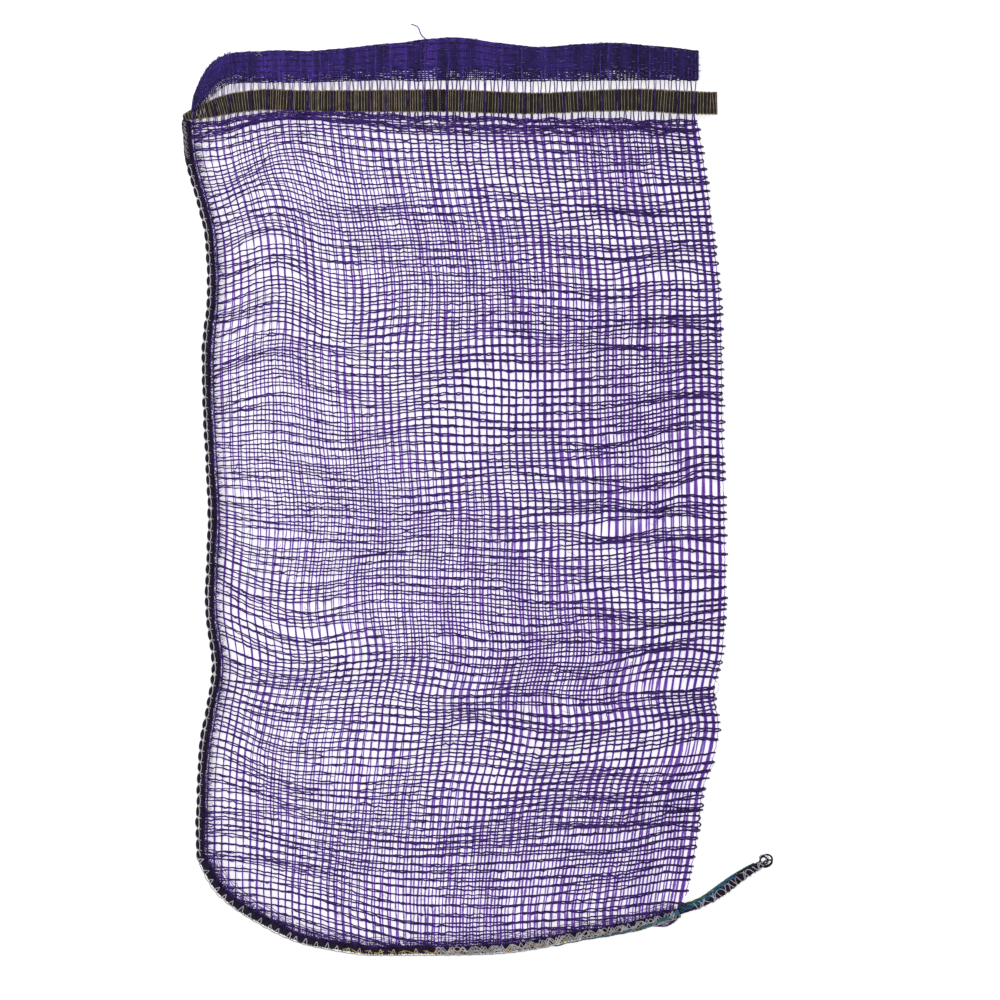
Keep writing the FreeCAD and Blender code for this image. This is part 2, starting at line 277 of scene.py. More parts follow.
class Cloth:
    """One net layer: where its rows and columns run."""

    def __init__(self, side):
        """Draw the layer's own noise."""
        self.side = side
        self.z = LAYER_Z[side]
        self.outwards = 1 if side == FRONT else -1
        self.row_ripple = Ripple(60.0, 0.45)
        self.row_streaks = Ripple(20.0, 0.55, 16, 0.3)
        self.column_ripple = Ripple(26.0, 0.2)
        self.lift = Ripple(60.0, 0.2)
        self.row_slip = 0.0 if side == FRONT else 2.0

    def row_y(self, x, y):
        """Height up the bag of the row that is at y in the flat cloth."""
        rise = np.zeros_like(x)
        for wx, wy, reach_x, reach_y, size in ROW_WAVES:
            rise += size * bump(x, wx, reach_x) * bump(y, wy, reach_y)
        for gx, gy, length, height in ROW_GAPS:
            opening = np.clip(1 - ((x - gx) / length) ** 2, 0, None) ** 1.5
            fade = np.exp(-np.abs(y - gy) / (2.6 * abs(height) + 1.5))
            rise += height * opening * fade * np.where(y >= gy, 1.0, -1.0)
        for cx, cy, length, reach, drawn in ROW_CROWDS:
            above = (y - cy) / reach
            rise -= drawn * above * np.exp(-above ** 2 / 2) * bump(x, cx, length)
        own = self.row_ripple(x, y) + restless(x) * self.row_streaks(x, y) - self.row_slip
        rise += SHARED_ROWS(x, y) + restless(x) * SHARED_STREAKS(x, y) + own * apart(x, y)
        edge = top_at(x) - 240.0
        return y + rise * self.calm(y) + edge * bump(y, 240.0, 40.0) + self.sag(x, y)

    def sag(self, x, y):
        """The lowest rows run down from the rounded corner to the middle, and a little up to the tail."""
        corner = np.clip((-10.0 - x) / 125.0, 0, 1)
        corner = 25.0 * corner ** 2 * (3 - 2 * corner)
        tail = 0.5 * np.where(x > 0, np.clip(bottom_at(x) + 287.0, 0, 20), 0)
        return (corner + tail) * np.exp(-np.clip(y + 257.0, 0, None) / 70.0)

    def calm(self, y):
        """Ripples die out towards the knitted top edge."""
        return np.clip((246.0 - y) / 40.0, 0.0, 1.0)

    def column_x(self, share, y):
        """Place across the bag of the column at a share of the net's width, at height y."""
        left, right = column_left(y), right_of_row(y)
        x = left + share * (right - left)
        free = np.clip(np.minimum(share, 1 - share) * 9.0, 0.0, 1.0)
        lean = 3.0 * np.clip((-y - 20.0) / 200.0, 0, 1) * (share - 0.3)
        slip = self.column_ripple(x, y)
        between = 0.0
        if self.side == BACK:
            slip = slip + 2.2 * np.sin(y / 62.0 + share * 4.0 + 0.6)
            between = 2.4 * np.clip((1 - share) * 30.0, 0, 1) * low_fold(share, y)
        return x - between + free * (SHARED_COLUMNS(x, y) + lean + slip * apart(x, y))

    def height(self, x, y):
        """Height of the layer, drawn in to the seam's middle at the seam."""
        near_left = np.clip((x - left_of_row(y)) / 10.0, 0, 1)
        near_bottom = np.clip((y - bottom_at(x)) / 10.0, 0, 1)
        draw_in = 1 - np.minimum(near_left, near_bottom)
        draw_in = draw_in ** 2 * (3 - 2 * draw_in)
        level = self.z - self.outwards * 0.5 + np.clip(self.lift(x, y), -0.25, 0.25)
        return level + (SEAM_Z - self.z) * 0.62 * draw_in


# -------- mesh making
def add_mesh(name, parts, materials):
    """A mesh object from parts of (vertices in mm, quads, triangles, material index)."""
    vertices, loops, totals, indices = [], [], [], []
    base = 0
    for points, faces, material in parts:
        vertices.append(points)
        for block in faces:
            block = np.asarray(block, int)
            loops.append((block + base).ravel())
            totals.append(np.full(len(block), block.shape[1]))
            indices.append(np.full(len(block), material))
        base += len(points)
    mesh = bpy.data.meshes.new(name)
    fill_mesh(mesh, np.vstack(vertices) * MM, *(np.concatenate(a) for a in (loops, totals, indices)))
    for material in materials:
        mesh.materials.append(material)
    mesh.update(calc_edges=True)
    mesh.validate()
    piece = bpy.data.objects.new(name, mesh)
    bpy.context.scene.collection.objects.link(piece)
    return piece


def fill_mesh(mesh, vertices, loops, totals, indices):
    """Give a mesh its vertices and smooth polygons: their corners, corner counts and material indices."""
    mesh.vertices.add(len(vertices))
    mesh.vertices.foreach_set("co", vertices.astype(np.float32).ravel())
    mesh.loops.add(len(loops))
    mesh.loops.foreach_set("vertex_index", loops.astype(np.int32))
    mesh.polygons.add(len(totals))
    starts = np.concatenate([[0], np.cumsum(totals)[:-1]])
    mesh.polygons.foreach_set("loop_start", starts.astype(np.int32))
    mesh.polygons.foreach_set("loop_total", totals.astype(np.int32))
    mesh.polygons.foreach_set("material_index", indices.astype(np.int32))
    mesh.polygons.foreach_set("use_smooth", np.ones(len(totals), bool))


def tube(path, half_width, half_height, reference, sides=6, twist=0.0, material=0, relief=1.0):
    """A closed tube along a path. The half width lies along the reference direction, and relief
    multiplies the radius point by point."""
    path = np.asarray(path, float)
    count = len(path)
    tangent = np.gradient(path, axis=0)
    tangent /= np.maximum(np.linalg.norm(tangent, axis=1), 1e-9)[:, None]
    reference = np.broadcast_to(np.asarray(reference, float), path.shape)
    across = reference - (reference * tangent).sum(axis=1)[:, None] * tangent
    across /= np.maximum(np.linalg.norm(across, axis=1), 1e-9)[:, None]
    up = np.cross(tangent, across)
    angle = TAU * (np.arange(sides) + 0.5) / sides
    a = np.reshape(half_width, (-1, 1)) * np.cos(angle) * np.ones((count, 1)) * relief
    b = np.reshape(half_height, (-1, 1)) * np.sin(angle) * np.ones((count, 1)) * relief
    turn = np.reshape(twist, (-1, 1)) * np.ones((count, 1))
    a, b = a * np.cos(turn) - b * np.sin(turn), a * np.sin(turn) + b * np.cos(turn)
    points = path[:, None] + a[..., None] * across[:, None] + b[..., None] * up[:, None]
    ring = np.arange(sides)
    following = np.roll(ring, -1)
    start = (np.arange(count - 1) * sides)[:, None]
    above = start + sides
    quads = np.stack([start + ring, start + following, above + following, above + ring], axis=-1)
    caps = np.stack([ring[::-1], (count - 1) * sides + ring])
    return points.reshape(-1, 3), [quads.reshape(-1, 4), caps], material


X_AXIS, Y_AXIS, Z_AXIS = np.eye(3)


# -------- materials
def new_material(name):
    """A node material, with its nodes, links and main shader."""
    material = bpy.data.materials.new(name)
    material.use_nodes = True
    nodes = material.node_tree.nodes
    return material, nodes, material.node_tree.links, nodes["Principled BSDF"]


def set_inputs(node, **values):
    """Set a shader node's own inputs, which are named here with _ in place of a space."""
    for name, value in values.items():
        node.inputs[name.replace("_", " ")].default_value = value


def add_node(nodes, kind, **values):
    """A new shader node with some of its inputs set."""
    node = nodes.new("ShaderNode" + kind)
    set_inputs(node, **values)
    return node


# Grain of a yarn's fibres in metres, and where its noise turns from the dark tone to the light one.
FIBRE_GRAIN = 0.0006
TONE_STOPS = (0.38, 0.64)


def yarn_material(name, dark, light, roughness, patch=0.02, stretch=(1, 1, 1)):
    """Spun or drawn yarn: two tones mixed by a patchy and a fine noise, with a fibre bump. The patches
    are longer along an axis where stretch is below 1."""
    material, nodes, links, shader = new_material(name)
    place = add_node(nodes, "TexCoord")
    stretched = add_node(nodes, "Mapping", Scale=stretch)
    links.new(place.outputs["Object"], stretched.inputs["Vector"])
    broad = noise_node(nodes, links, stretched.outputs["Vector"], patch, 4)
    fine = noise_node(nodes, links, place.outputs["Object"], patch * 0.06, 3)
    total = add_node(nodes, "Math")
    total.operation = "ADD"
    links.new(broad.outputs["Fac"], total.inputs[0])
    links.new(fine.outputs["Fac"], total.inputs[1])
    half = add_node(nodes, "Math")
    half.operation = "MULTIPLY"
    half.inputs[1].default_value = 0.5
    links.new(total.outputs[0], half.inputs[0])
    ramp = add_node(nodes, "ValToRGB")
    for stop, position, tone in zip(ramp.color_ramp.elements, TONE_STOPS, (dark, light)):
        stop.position = position
        stop.color = (*srgb(*tone), 1)
    links.new(half.outputs[0], ramp.inputs["Fac"])
    links.new(ramp.outputs["Color"], shader.inputs["Base Color"])
    add_fibre_bumps(nodes, links, place, shader)
    set_inputs(shader, Roughness=roughness, Specular_IOR_Level=0.22, Sheen_Weight=0.1, Sheen_Roughness=0.4)
    return material


def add_fibre_bumps(nodes, links, place, shader):
    """The fine bumps of a yarn's fibres."""
    fibre = noise_node(nodes, links, place.outputs["Object"], FIBRE_GRAIN, 2)
    bumps = add_node(nodes, "Bump", Strength=0.35, Distance=0.00015)
    links.new(fibre.outputs["Fac"], bumps.inputs["Height"])
    links.new(bumps.outputs["Normal"], shader.inputs["Normal"])


def noise_node(nodes, links, vector, grain, detail):
    """Noise with patches of about the grain's size, in metres."""
    noise = add_node(nodes, "TexNoise", Scale=1 / grain, Detail=detail)
    links.new(vector, noise.inputs["Vector"])
    return noise


def film_material(name, dark, light, solid, patch=0.012):
    """Thin stretched film tape: part solid colour, part see-through with a tint."""
    material = yarn_material(name, dark, light, 0.3, patch=patch)
    nodes, links = material.node_tree.nodes, material.node_tree.links
    clear = add_node(nodes, "BsdfTransparent", Color=(*FILM_TINT, 1))
    mix = add_node(nodes, "MixShader", Fac=solid)
    links.new(clear.outputs["BSDF"], mix.inputs[1])
    links.new(nodes["Principled BSDF"].outputs["BSDF"], mix.inputs[2])
    links.new(mix.outputs["Shader"], nodes["Material Output"].inputs["Surface"])
    return material


def srgb(*levels):
    """Linear colour from 0 to 255 display values."""
    return tuple((v / 255 / 12.92) if v <= 10 else ((v / 255 + 0.055) / 1.055) ** 2.4 for v in levels)


# A wave texture's scale is this over the wave's length.
WAVE_SCALE = 0.314


def add_ribs(material, period, depth):
    """Darken a material in fine bands across the object's X axis, as the weft of a woven tape does."""
    nodes, links = material.node_tree.nodes, material.node_tree.links
    place = add_node(nodes, "TexCoord")
    wave = add_node(nodes, "TexWave", Scale=WAVE_SCALE / period, Distortion=1.5, Detail=1)
    links.new(place.outputs["Object"], wave.inputs["Vector"])
    dark = add_node(nodes, "MapRange", To_Min=1 - depth)
    links.new(wave.outputs["Fac"], dark.inputs["Value"])
    scale_colour(material, dark.outputs["Result"])


def darken_along_x(material, start, stop, left):
    """Darken a material from one x to another, in metres, to that share of its colour."""
    nodes, links = material.node_tree.nodes, material.node_tree.links
    place = add_node(nodes, "TexCoord")
    parted = add_node(nodes, "SeparateXYZ")
    links.new(place.outputs["Object"], parted.inputs["Vector"])
    fade = add_node(nodes, "MapRange", From_Min=start, From_Max=stop, To_Min=1.0, To_Max=left)
    links.new(parted.outputs["X"], fade.inputs["Value"])
    scale_colour(material, fade.outputs["Result"])


def scale_colour(material, share):
    """Multiply a material's base colour by a node's output."""
    nodes, links = material.node_tree.nodes, material.node_tree.links
    tone = add_node(nodes, "VectorMath")
    tone.operation = "SCALE"
    shader = nodes["Principled BSDF"]
    links.new(shader.inputs["Base Color"].links[0].from_socket, tone.inputs[0])
    links.new(share, tone.inputs["Scale"])
    links.new(tone.outputs["Vector"], shader.inputs["Base Color"])


# The colour that light takes on as it passes through the film tapes.
FILM_TINT = (0.70, 0.50, 0.94)
ROW_YARN = yarn_material("row_yarn", (25, 12, 56), (80, 47, 150), 0.42, patch=0.006)
darken_along_x(ROW_YARN, 0.02, 0.17, 0.72)
COLUMN_TAPE = film_material("column_tape", (66, 34, 118), (146, 92, 204), 0.42)
HEM_YARN = yarn_material("hem_yarn", (14, 7, 44), (84, 52, 172), 0.4, patch=0.007, stretch=(1, 0.14, 1))
darken_along_x(HEM_YARN, 0.03, 0.12, 0.42)
HEM_RIB = yarn_material("hem_rib", (18, 10, 44), (54, 34, 112), 0.5, patch=0.004)
# hem_glint is a pale violet that paints in highlights: the small glints on the hem's film.
HEM_GLINT = yarn_material("hem_glint", (92, 66, 176), (176, 152, 232), 0.35, patch=0.003)
HEM_TAPE = film_material("hem_tape", (40, 24, 104), (116, 84, 200), 0.7, 0.006)
CHANNEL_TAPE = film_material("channel_tape", (44, 26, 86), (88, 56, 146), 0.55)
SEAM_YARN = yarn_material("seam_yarn", (14, 9, 20), (40, 26, 60), 0.7, patch=0.006)
PALE_THREAD = yarn_material("pale_thread", (168, 164, 172), (222, 218, 222), 0.6, patch=0.006)
YELLOW_THREAD = yarn_material("yellow_thread", (172, 132, 24), (228, 192, 66), 0.5, patch=0.006)
BLUE_THREAD = yarn_material("blue_thread", (30, 70, 110), (66, 130, 175), 0.5, patch=0.006)
GREEN_THREAD = yarn_material("green_thread", (45, 85, 60), (86, 135, 92), 0.5, patch=0.006)
TAPE_BASE = yarn_material("tape_base", (24, 19, 20), (60, 50, 45), 0.7, patch=0.003)
add_ribs(TAPE_BASE, 0.00125, 0.75)
TAPE_RIB = yarn_material("tape_rib", (116, 102, 88), (200, 184, 156), 0.65, patch=0.004)

# -------- camera, light and floor
# What the camera sees at the height of the front layer, in metres.
VIEW_WIDTH = 0.6386
VIEW_CENTRE = (0.0307, -0.0019)
FLOOR_REACH, FLOOR_Z = 6.0, -0.0002


def add_camera():
    """A camera straight above, as the bag is seen from the front."""
    camera = bpy.data.cameras.new("camera")
    camera.lens = 100
    camera.sensor_width = 36
    holder = bpy.data.objects.new("camera", camera)
    distance = VIEW_WIDTH * camera.lens / camera.sensor_width
    holder.location = (*VIEW_CENTRE, LAYER_Z[FRONT] * MM + distance)
    bpy.context.scene.collection.objects.link(holder)
    bpy.context.scene.camera = holder


def add_floor():
    """A plain white floor, which glows a little so that it stays white."""
    mesh = bpy.data.meshes.new("floor")
    corners = [(x * FLOOR_REACH, y * FLOOR_REACH, FLOOR_Z) for x, y in ((-1, -1), (1, -1), (1, 1), (-1, 1))]
    mesh.from_pydata(corners, [], [(0, 1, 2, 3)])
    floor = bpy.data.objects.new("floor", mesh)
    bpy.context.scene.collection.objects.link(floor)
    material, _, _, shader = new_material("floor")
    set_inputs(shader, Base_Color=(0.93, 0.93, 0.93, 1), Roughness=0.9)
    set_inputs(shader, Emission_Color=(1, 1, 1, 1), Emission_Strength=0.62)
    mesh.materials.append(material)


def add_light(name, place, size, power):
    """A soft round light that faces the bag's middle."""
    light = bpy.data.lights.new(name, "AREA")
    light.shape = "DISK"
    light.size = size
    light.energy = power
    holder = bpy.data.objects.new(name, light)
    holder.location = place
    x, y, z = -np.array(place)
    holder.rotation_euler = (math.atan2(math.hypot(x, y), -z), 0, math.atan2(y, x) - math.pi / 2)
    bpy.context.scene.collection.objects.link(holder)


def add_world():
    """Even white light from all round."""
    world = bpy.data.worlds.new("studio")
    world.use_nodes = True
    set_inputs(world.node_tree.nodes["Background"], Color=(1, 1, 1, 1), Strength=0.6)
    bpy.context.scene.world = world


add_camera()
add_floor()
add_light("key", (-1.2, 1.0, 2.0), 1.2, 16)
add_world()
bpy.context.scene.view_settings.view_transform = "Standard"

# -------- the seam's free tail
# Corners of the tail's route, which the cord's line rounds off.
TAIL_ROUTE = [(145.6, -264.3), (157.8, -261.4), (172.0, -252.6), (186.3, -241.6), (198.8, -234.6)]
# The ladder chain begins this far along the tail, where the coloured threads have left its top.
TAIL_CHAIN_START = 9.0
CORE_STRANDS = 7
# Loops at the tail's end: reach, half spread, shift to the left, tilt and half thickness.
END_LOOPS = (
    (4.0, 3.5, 0.6, 0.3, 0.62), (2.9, 3.4, 1.5, 0.9, 0.28), (3.4, 1.9, -1.6, 0.6, 0.55),
    (2.1, 2.2, 2.9, 0.2, 0.26), (2.3, 2.4, 1.2, 0.5, 0.55),
)


def nurbs_line(points):
    """Points read from a smooth NURBS curve that has these control points, in millimetres."""
    curve = bpy.data.curves.new("route", "CURVE")
    curve.dimensions = "3D"
    spline = curve.splines.new("NURBS")
    spline.points.add(len(points) - 1)
    for point, place in zip(spline.points, points):
        point.co = (*[v * MM for v in place], 1)
    spline.order_u = 3
    spline.use_endpoint_u = True
    spline.resolution_u = 24
    holder = bpy.data.objects.new("route", curve)
    mesh = bpy.data.meshes.new_from_object(holder)
    line = np.array([v.co for v in mesh.vertices]) / MM
    bpy.data.objects.remove(holder)
    bpy.data.curves.remove(curve)
    bpy.data.meshes.remove(mesh)
    return line


def sideways(line):
    """Unit vectors to the left of a line, level with the floor."""
    tangent = np.gradient(line, axis=0)
    across = np.stack([-tangent[:, 1], tangent[:, 0], np.zeros(len(line))], axis=1)
    return across / np.linalg.norm(across, axis=1)[:, None]


def wound(line, radius, pitch, phase):
    """A thread wound round a line as a helix, which is wider along the floor than it is high."""
    length = arc_length(line)
    turn = TAU * length / pitch + phase
    across = sideways(line)
    return line + radius * (1.4 * np.cos(turn)[:, None] * across + 0.84 * np.sin(turn)[:, None] * Z_AXIS)


tail_line = nurbs_line([(x, y, TAIL_Z) for x, y in TAIL_ROUTE])
tail_fine = resample(tail_line, 0.4)
tail_length = arc_length(tail_fine)
tail_share = tail_length / tail_length[-1]
# The core is uneven, and thinner towards its end.
tail_swell = 1 - 0.12 * np.sin(tail_share * 9.0) - 0.25 * np.clip(tail_share - 0.85, 0, 1) / 0.15


def tail_core():
    """A bundle of dark strands, twisted round a straight one."""
    core = []
    for i in range(CORE_STRANDS):
        path = wound(tail_fine, 1.55 * tail_swell[:, None], 23.0, TAU * i / CORE_STRANDS)
        core.append(tube(path, 1.05 * tail_swell, 1.05 * tail_swell, Z_AXIS, 8))
    core.append(tube(tail_fine, 1.3, 1.3, Z_AXIS, 8))
    return core


def tail_chain():
    """The pale ladder chain: threads wound both ways, mostly over the core's right side."""
    chain = []
    loose = 0.5 * np.sin(tail_length * 0.47) + 0.35 * np.sin(tail_length * 1.13 + 1.0)
    seen = tail_length > TAIL_CHAIN_START
    for phase, pitch in ((0.0, 8.4), (math.pi, 8.4), (0.4, -8.4), (math.pi + 0.4, -11.0)):
        path = wound(tail_fine, 2.0 * tail_swell[:, None], pitch, phase + loose) + 0.95 * Z_AXIS
        to_right = 0.35 + 0.4 * np.abs(np.sin(tail_length * 0.9 + phase))
        path = path - to_right[:, None] * sideways(tail_fine)
        chain.append(tube(path[seen], 0.30, 0.24, Z_AXIS))
    return chain


def tail_thread(stop, pitch, angle):
    """A coloured thread of three strands along the core's left side, as far as a share of the tail."""
    thread = []
    span = tail_share <= stop
    for strand in range(3):
        wave = 0.10 * np.sin(tail_length * 1.1 + 2.0 * strand)
        path = wound(tail_fine, 2.6 * tail_swell[:, None], pitch, angle - 0.27 * strand + wave)[span]
        thread.append(tube(path, 0.40, 0.32, Z_AXIS, 6, tail_length[span] * 1.5))
    return thread


def tail_loops():
    """The loose loops of dark and pale thread that the tail ends in."""
    loops = []
    end = tail_fine[-1]
    along = tail_fine[-1] - tail_fine[-3]
    along /= np.linalg.norm(along)
    across = np.array([-along[1], along[0], 0.0])
    turn = np.linspace(-0.88 * math.pi, 0.88 * math.pi, 40)[:, None]
    for number, (reach, spread, sideward, tilt, thick) in enumerate(END_LOOPS):
        path = (end + along * (reach * (np.cos(turn) + 0.75)) + across * (spread * np.sin(turn) + sideward)
                + Z_AXIS * (0.8 * tilt * np.sin(turn * 0.5 + 1.0)))
        loops.append(tube(path, thick, thick, Z_AXIS, material=number % 2))
    return loops


def settle(piece, node, body):
    """Common finish of a piece that rides rigidly: it stands for its CAD node and goes with a body."""
    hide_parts(node)
    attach(piece, body)


def make_tail():
    """The tail's pieces: its core, which is the cord, and the chain, threads and loops on it. Each hides
    its CAD node and goes with the bag.
    """
    tail = add_mesh("tail_core_strands", tail_core(), [SEAM_YARN])
    settle(tail, "tail_core", "bag")
    for name, parts, materials, node, slot in (
        ("tail_ladder_chain", tail_chain(), [PALE_THREAD], "tail_chain", "pale_thread"),
        ("tail_blue", tail_thread(0.72, -270.0, 1.85), [BLUE_THREAD], "tail_blue_thread", "blue_thread"),
        ("tail_green", tail_thread(0.93, -320.0, 1.0), [GREEN_THREAD], "tail_green_thread", "green_thread"),
        ("tail_loose_loops", tail_loops(), [SEAM_YARN, PALE_THREAD], "tail_end_loop", "loop_thread"),
    ):
        piece = add_mesh(name, parts, materials)
        settle(piece, node, "bag")


make_tail()

# -------- net layers
# Places of the net's materials in its list, and half the film tape's thickness.
ROW, COLUMN = range(2)
FILM_HALF = 0.1
COLUMN_SHARES = (np.arange(COLUMN_COUNT) + 0.5) / COLUMN_COUNT
ROW_LEVELS = np.arange(236.5, -312.0, -ROW_PITCH)
COLUMN_LEVELS = np.concatenate([[240.5], ROW_LEVELS])


def row_path(cloth, level):
    """Points of one row at each column and half way between, or None where the row is cut off."""
    share = np.linspace(0, 1, 2 * COLUMN_COUNT + 1)
    y = np.full_like(share, level)
    x = cloth.column_x(share, y)
    for _ in range(2):
        y = cloth.row_y(x, np.full_like(share, level))
        x = cloth.column_x(share, y)
    inside = (x > left_of_row(y)) & (y > bottom_at(x))
    if inside.sum() < 8:
        return None
    at_column = np.arange(len(share)) % 2
    z = cloth.height(x, y) + cloth.outwards * 0.14 * np.where(at_column == 1, 1, -0.4)
    path = np.stack([x, y, z], axis=1)
    return path[inside], at_column[inside]


def column_path(cloth, share):
    """Points of one column at each row and half way between."""
    y = np.interp(np.arange(2 * len(COLUMN_LEVELS) - 1) / 2, np.arange(len(COLUMN_LEVELS)), COLUMN_LEVELS)
    x = cloth.column_x(np.full_like(y, share), y)
    for _ in range(2):
        x = cloth.column_x(np.full_like(y, share), cloth.row_y(x, y))
    y = cloth.row_y(x, y)
    at_row = (np.arange(len(y)) % 2 == 0).astype(int)
    inside = (y > bottom_at(x)) & (x > left_of_row(y))
    z = cloth.height(x, y) - cloth.outwards * 0.16 * at_row
    path = np.stack([x, y, z], axis=1)
    return path[inside], at_row[inside]


def net_rows(cloth):
    """Each row is a dark yarn, with a stretch of film tape lying loosely along it."""
    parts, ends = [], {}
    for level in ROW_LEVELS:
        found = row_path(cloth, level)
        if found is None:
            continue
        path, knot = found
        path[:, 1] += rng.normal(0, 0.24, len(path))
        share = (path[:, 0] - NET_LEFT) / NET_WIDTH
        thick = rng.uniform(0.88, 1.15) * (0.72 + 0.30 * share)
        half = thick * np.where(knot == 1, 0.64, 0.42) * rng.uniform(0.85, 1.15, len(path))
        parts.append(tube(path, half, half * 0.8, Y_AXIS, 5))
        film = path + rng.normal(0, 0.24, (len(path), 1)) * Y_AXIS - cloth.outwards * 0.1 * Z_AXIS
        width = thick * rng.uniform(0.5, 1.0, len(path))
        parts.append(tube(film, width, FILM_HALF, Y_AXIS, 3, rng.normal(0, 0.3, len(path)), COLUMN))
        if path[-1, 0] > right_of_row(path[-1, 1]) - 3.0:
            ends[level] = path[-1]
    return parts, ends


def net_columns(cloth):
    """Each column is a strip of film tape that twists a little, and is wider towards the fold."""
    parts = []
    for share in COLUMN_SHARES:
        path, knot = column_path(cloth, share)
        if len(path) < 4:
            continue
        across = (path[:, 0] - NET_LEFT) / NET_WIDTH
        loose = rng.uniform(0.66, 0.92) * (0.76 + 0.74 * across)
        width = loose * np.where(knot == 1, 0.8, 1.0) * rng.uniform(0.8, 1.2, len(path))
        width *= 1 - 0.08 * low_fold(share, path[:, 1])
        spin = 0.9 * np.sin(path[:, 1] / 31.0 + share * 40.0) + rng.normal(0, 0.16, len(path))
        parts.append(tube(path, width, FILM_HALF, X_AXIS, 4, spin, COLUMN))
    return parts


cloths = {side: Cloth(side) for side in (BACK, FRONT)}
# For each layer, where its rows reach the fold.
row_ends = {}
LOOSE_BITS = {BACK: 120, FRONT: 480}


def keep(piece, node):
    """Common finish of a fabric piece: it stands for its CAD node, and its transform is baked into its
    mesh.
    """
    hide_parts(node)
    gather(piece)


def gather(piece):
    """The mouth gathers along the drawstring, but here the piece only has its transform baked into its
    mesh, so the cloth stays where it lies."""
    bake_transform(piece)


def loose_bits(cloth, count):
    """Broken ends and slack bights of yarn that lie on the net, mostly towards the side seam."""
    parts = []
    for _ in range(count):
        y = rng.uniform(-270.0, 232.0)
        left, right = left_of_row(y), right_of_row(y)
        x = left + (right - left) * rng.uniform(0.0, 1.0) ** 1.8
        if y < bottom_at(x) + 8.0:
            continue
        angle = rng.normal(0, 0.6) + (math.pi / 2 if rng.uniform() < 0.35 else 0.0)
        length = rng.uniform(2.5, 6.5)
        t = np.linspace(-0.5, 0.5, 7)
        bow = rng.uniform(-0.9, 0.9) * (1 - 4 * t ** 2)
        px = x + length * t * math.cos(angle) - bow * math.sin(angle)
        py = y + length * t * math.sin(angle) + bow * math.cos(angle)
        path = np.column_stack([px, py, cloth.height(px, py) + cloth.outwards * 0.3])
        width, twist = rng.uniform(0.2, 0.42), rng.uniform(-0.6, 0.6)
        parts.append(tube(path, width, FILM_HALF, Z_AXIS, 4, twist, int(rng.choice([ROW, COLUMN]))))
    return parts


# How far below the net's top edge the close rows lie.
BAND_DROPS = (-0.9, 0.9, 4.6, 6.3)
BAND_WAVE = Ripple(34.0, 0.3)
BAND_LENSES = Ripple(12.0, 0.42)


def top_band_rows(cloth):
    """The close rows that finish the net under the open channel. They part and meet again, which leaves
    chains of small holes, and they bunch into a solid band near the side seam."""
    parts = []
    share = np.linspace(0, 1, 3 * COLUMN_COUNT + 1)
    x = cloth.column_x(share, np.full_like(share, 238.0))
    bunch = 0.5 * bump(x, -100.0, 40.0)
    for drop in BAND_DROPS:
        own = np.full_like(x, 37.0 * drop)
        fan = 1.0 + 0.35 * bump(x, -165.0, 26.0) - bunch
        y = top_at(x) - drop * fan + BAND_WAVE(x, own * 0.1) + (1 - bunch) * BAND_LENSES(x, own)
        inside = x > left_of_row(y)
        z = cloth.height(x, y) + cloth.outwards * 0.12
        path = np.stack([x, y, z], axis=1)[inside]
        half = 0.40 * rng.uniform(0.75, 1.3, len(path))
        parts.append(tube(path, half, 0.34, Y_AXIS))
        film = path + rng.normal(0, 0.4, (len(path), 1)) * Y_AXIS
        width = 0.6 * rng.uniform(0.5, 1.2, len(path))
        parts.append(tube(film, width, FILM_HALF, Y_AXIS, 3, material=COLUMN))
    return parts


def make_net(side):
    """One layer of the net: its rows, the band under the channel, its columns and the loose bits on it."""
    cloth = cloths[side]
    rows, row_ends[side] = net_rows(cloth)
    bits = loose_bits(cloth, LOOSE_BITS[side])
    parts = rows + top_band_rows(cloth) + net_columns(cloth) + bits
    net = add_mesh("net_" + side + "_knit", parts, [ROW_YARN, COLUMN_TAPE])
    keep(net, "net_" + side)
    return net


def make_net_fold():
    """Where each row turns over from the front layer to the back one at the folded edge."""
    parts = []
    turn = np.linspace(0, math.pi, 11)
    for level, front in row_ends[FRONT].items():
        if level not in row_ends[BACK]:
            continue
        back = row_ends[BACK][level]
        middle, half = (front + back) / 2, (front - back) / 2
        bulge = rng.uniform(0.8, 2.4)
        path = middle + np.cos(turn)[:, None] * half + np.sin(turn)[:, None] * bulge * X_AXIS
        thick = 0.62 + 0.14 * np.cos(turn * 4.0) + rng.uniform(-0.05, 0.15)
        parts.append(tube(path, thick, thick, Y_AXIS))
    parts += fold_columns() + fold_bights()
    keep(add_mesh("net_fold_turns", parts, [ROW_YARN, COLUMN_TAPE]), "net_fold")


def fold_columns():
    """The two columns that run down the fold itself: inset from it, and height from its middle."""
    parts = []
    y = np.linspace(-255.0, 239.0, 260)
    for inset, height in ((0.4, 1.3), (-1.6, -1.1)):
        x = right_of_row(y) + inset + 0.35 * np.sin(y * 1.21)
        z = np.full_like(y, SEAM_Z) + height + 0.5 * np.sin(y * 0.31)
        path = np.column_stack([x, y, z])
        parts.append(tube(path, 0.35, 0.12, X_AXIS, 4, np.sin(y * 0.2), COLUMN))
    return parts


def fold_bights():
    """Slack bights that stand out of the fold: y, reach and half spread."""
    parts = []
    bight = np.linspace(-1, 1, 17)
    for y, reach, spread in ((-122.0, 4.2, 5.5), (-128.5, 2.4, 2.5), (-172.0, 2.2, 5.0), (112.0, 1.6, 2.0)):
        x = right_of_row(y + spread * bight) + reach * (1 - bight ** 2) - 0.5
        z = SEAM_Z + 2.4 - 1.6 * (1 - bight ** 2)
        path = np.column_stack([x, y + spread * bight, z])
        parts.append(tube(path, 0.3, 0.16, Z_AXIS, 5, material=COLUMN))
    return parts


# -------- hem and channel
hem_low, hem_high = spans(HEM_LOW, 14), spans(HEM_HIGH, 14)
HEM_ROWS = 25
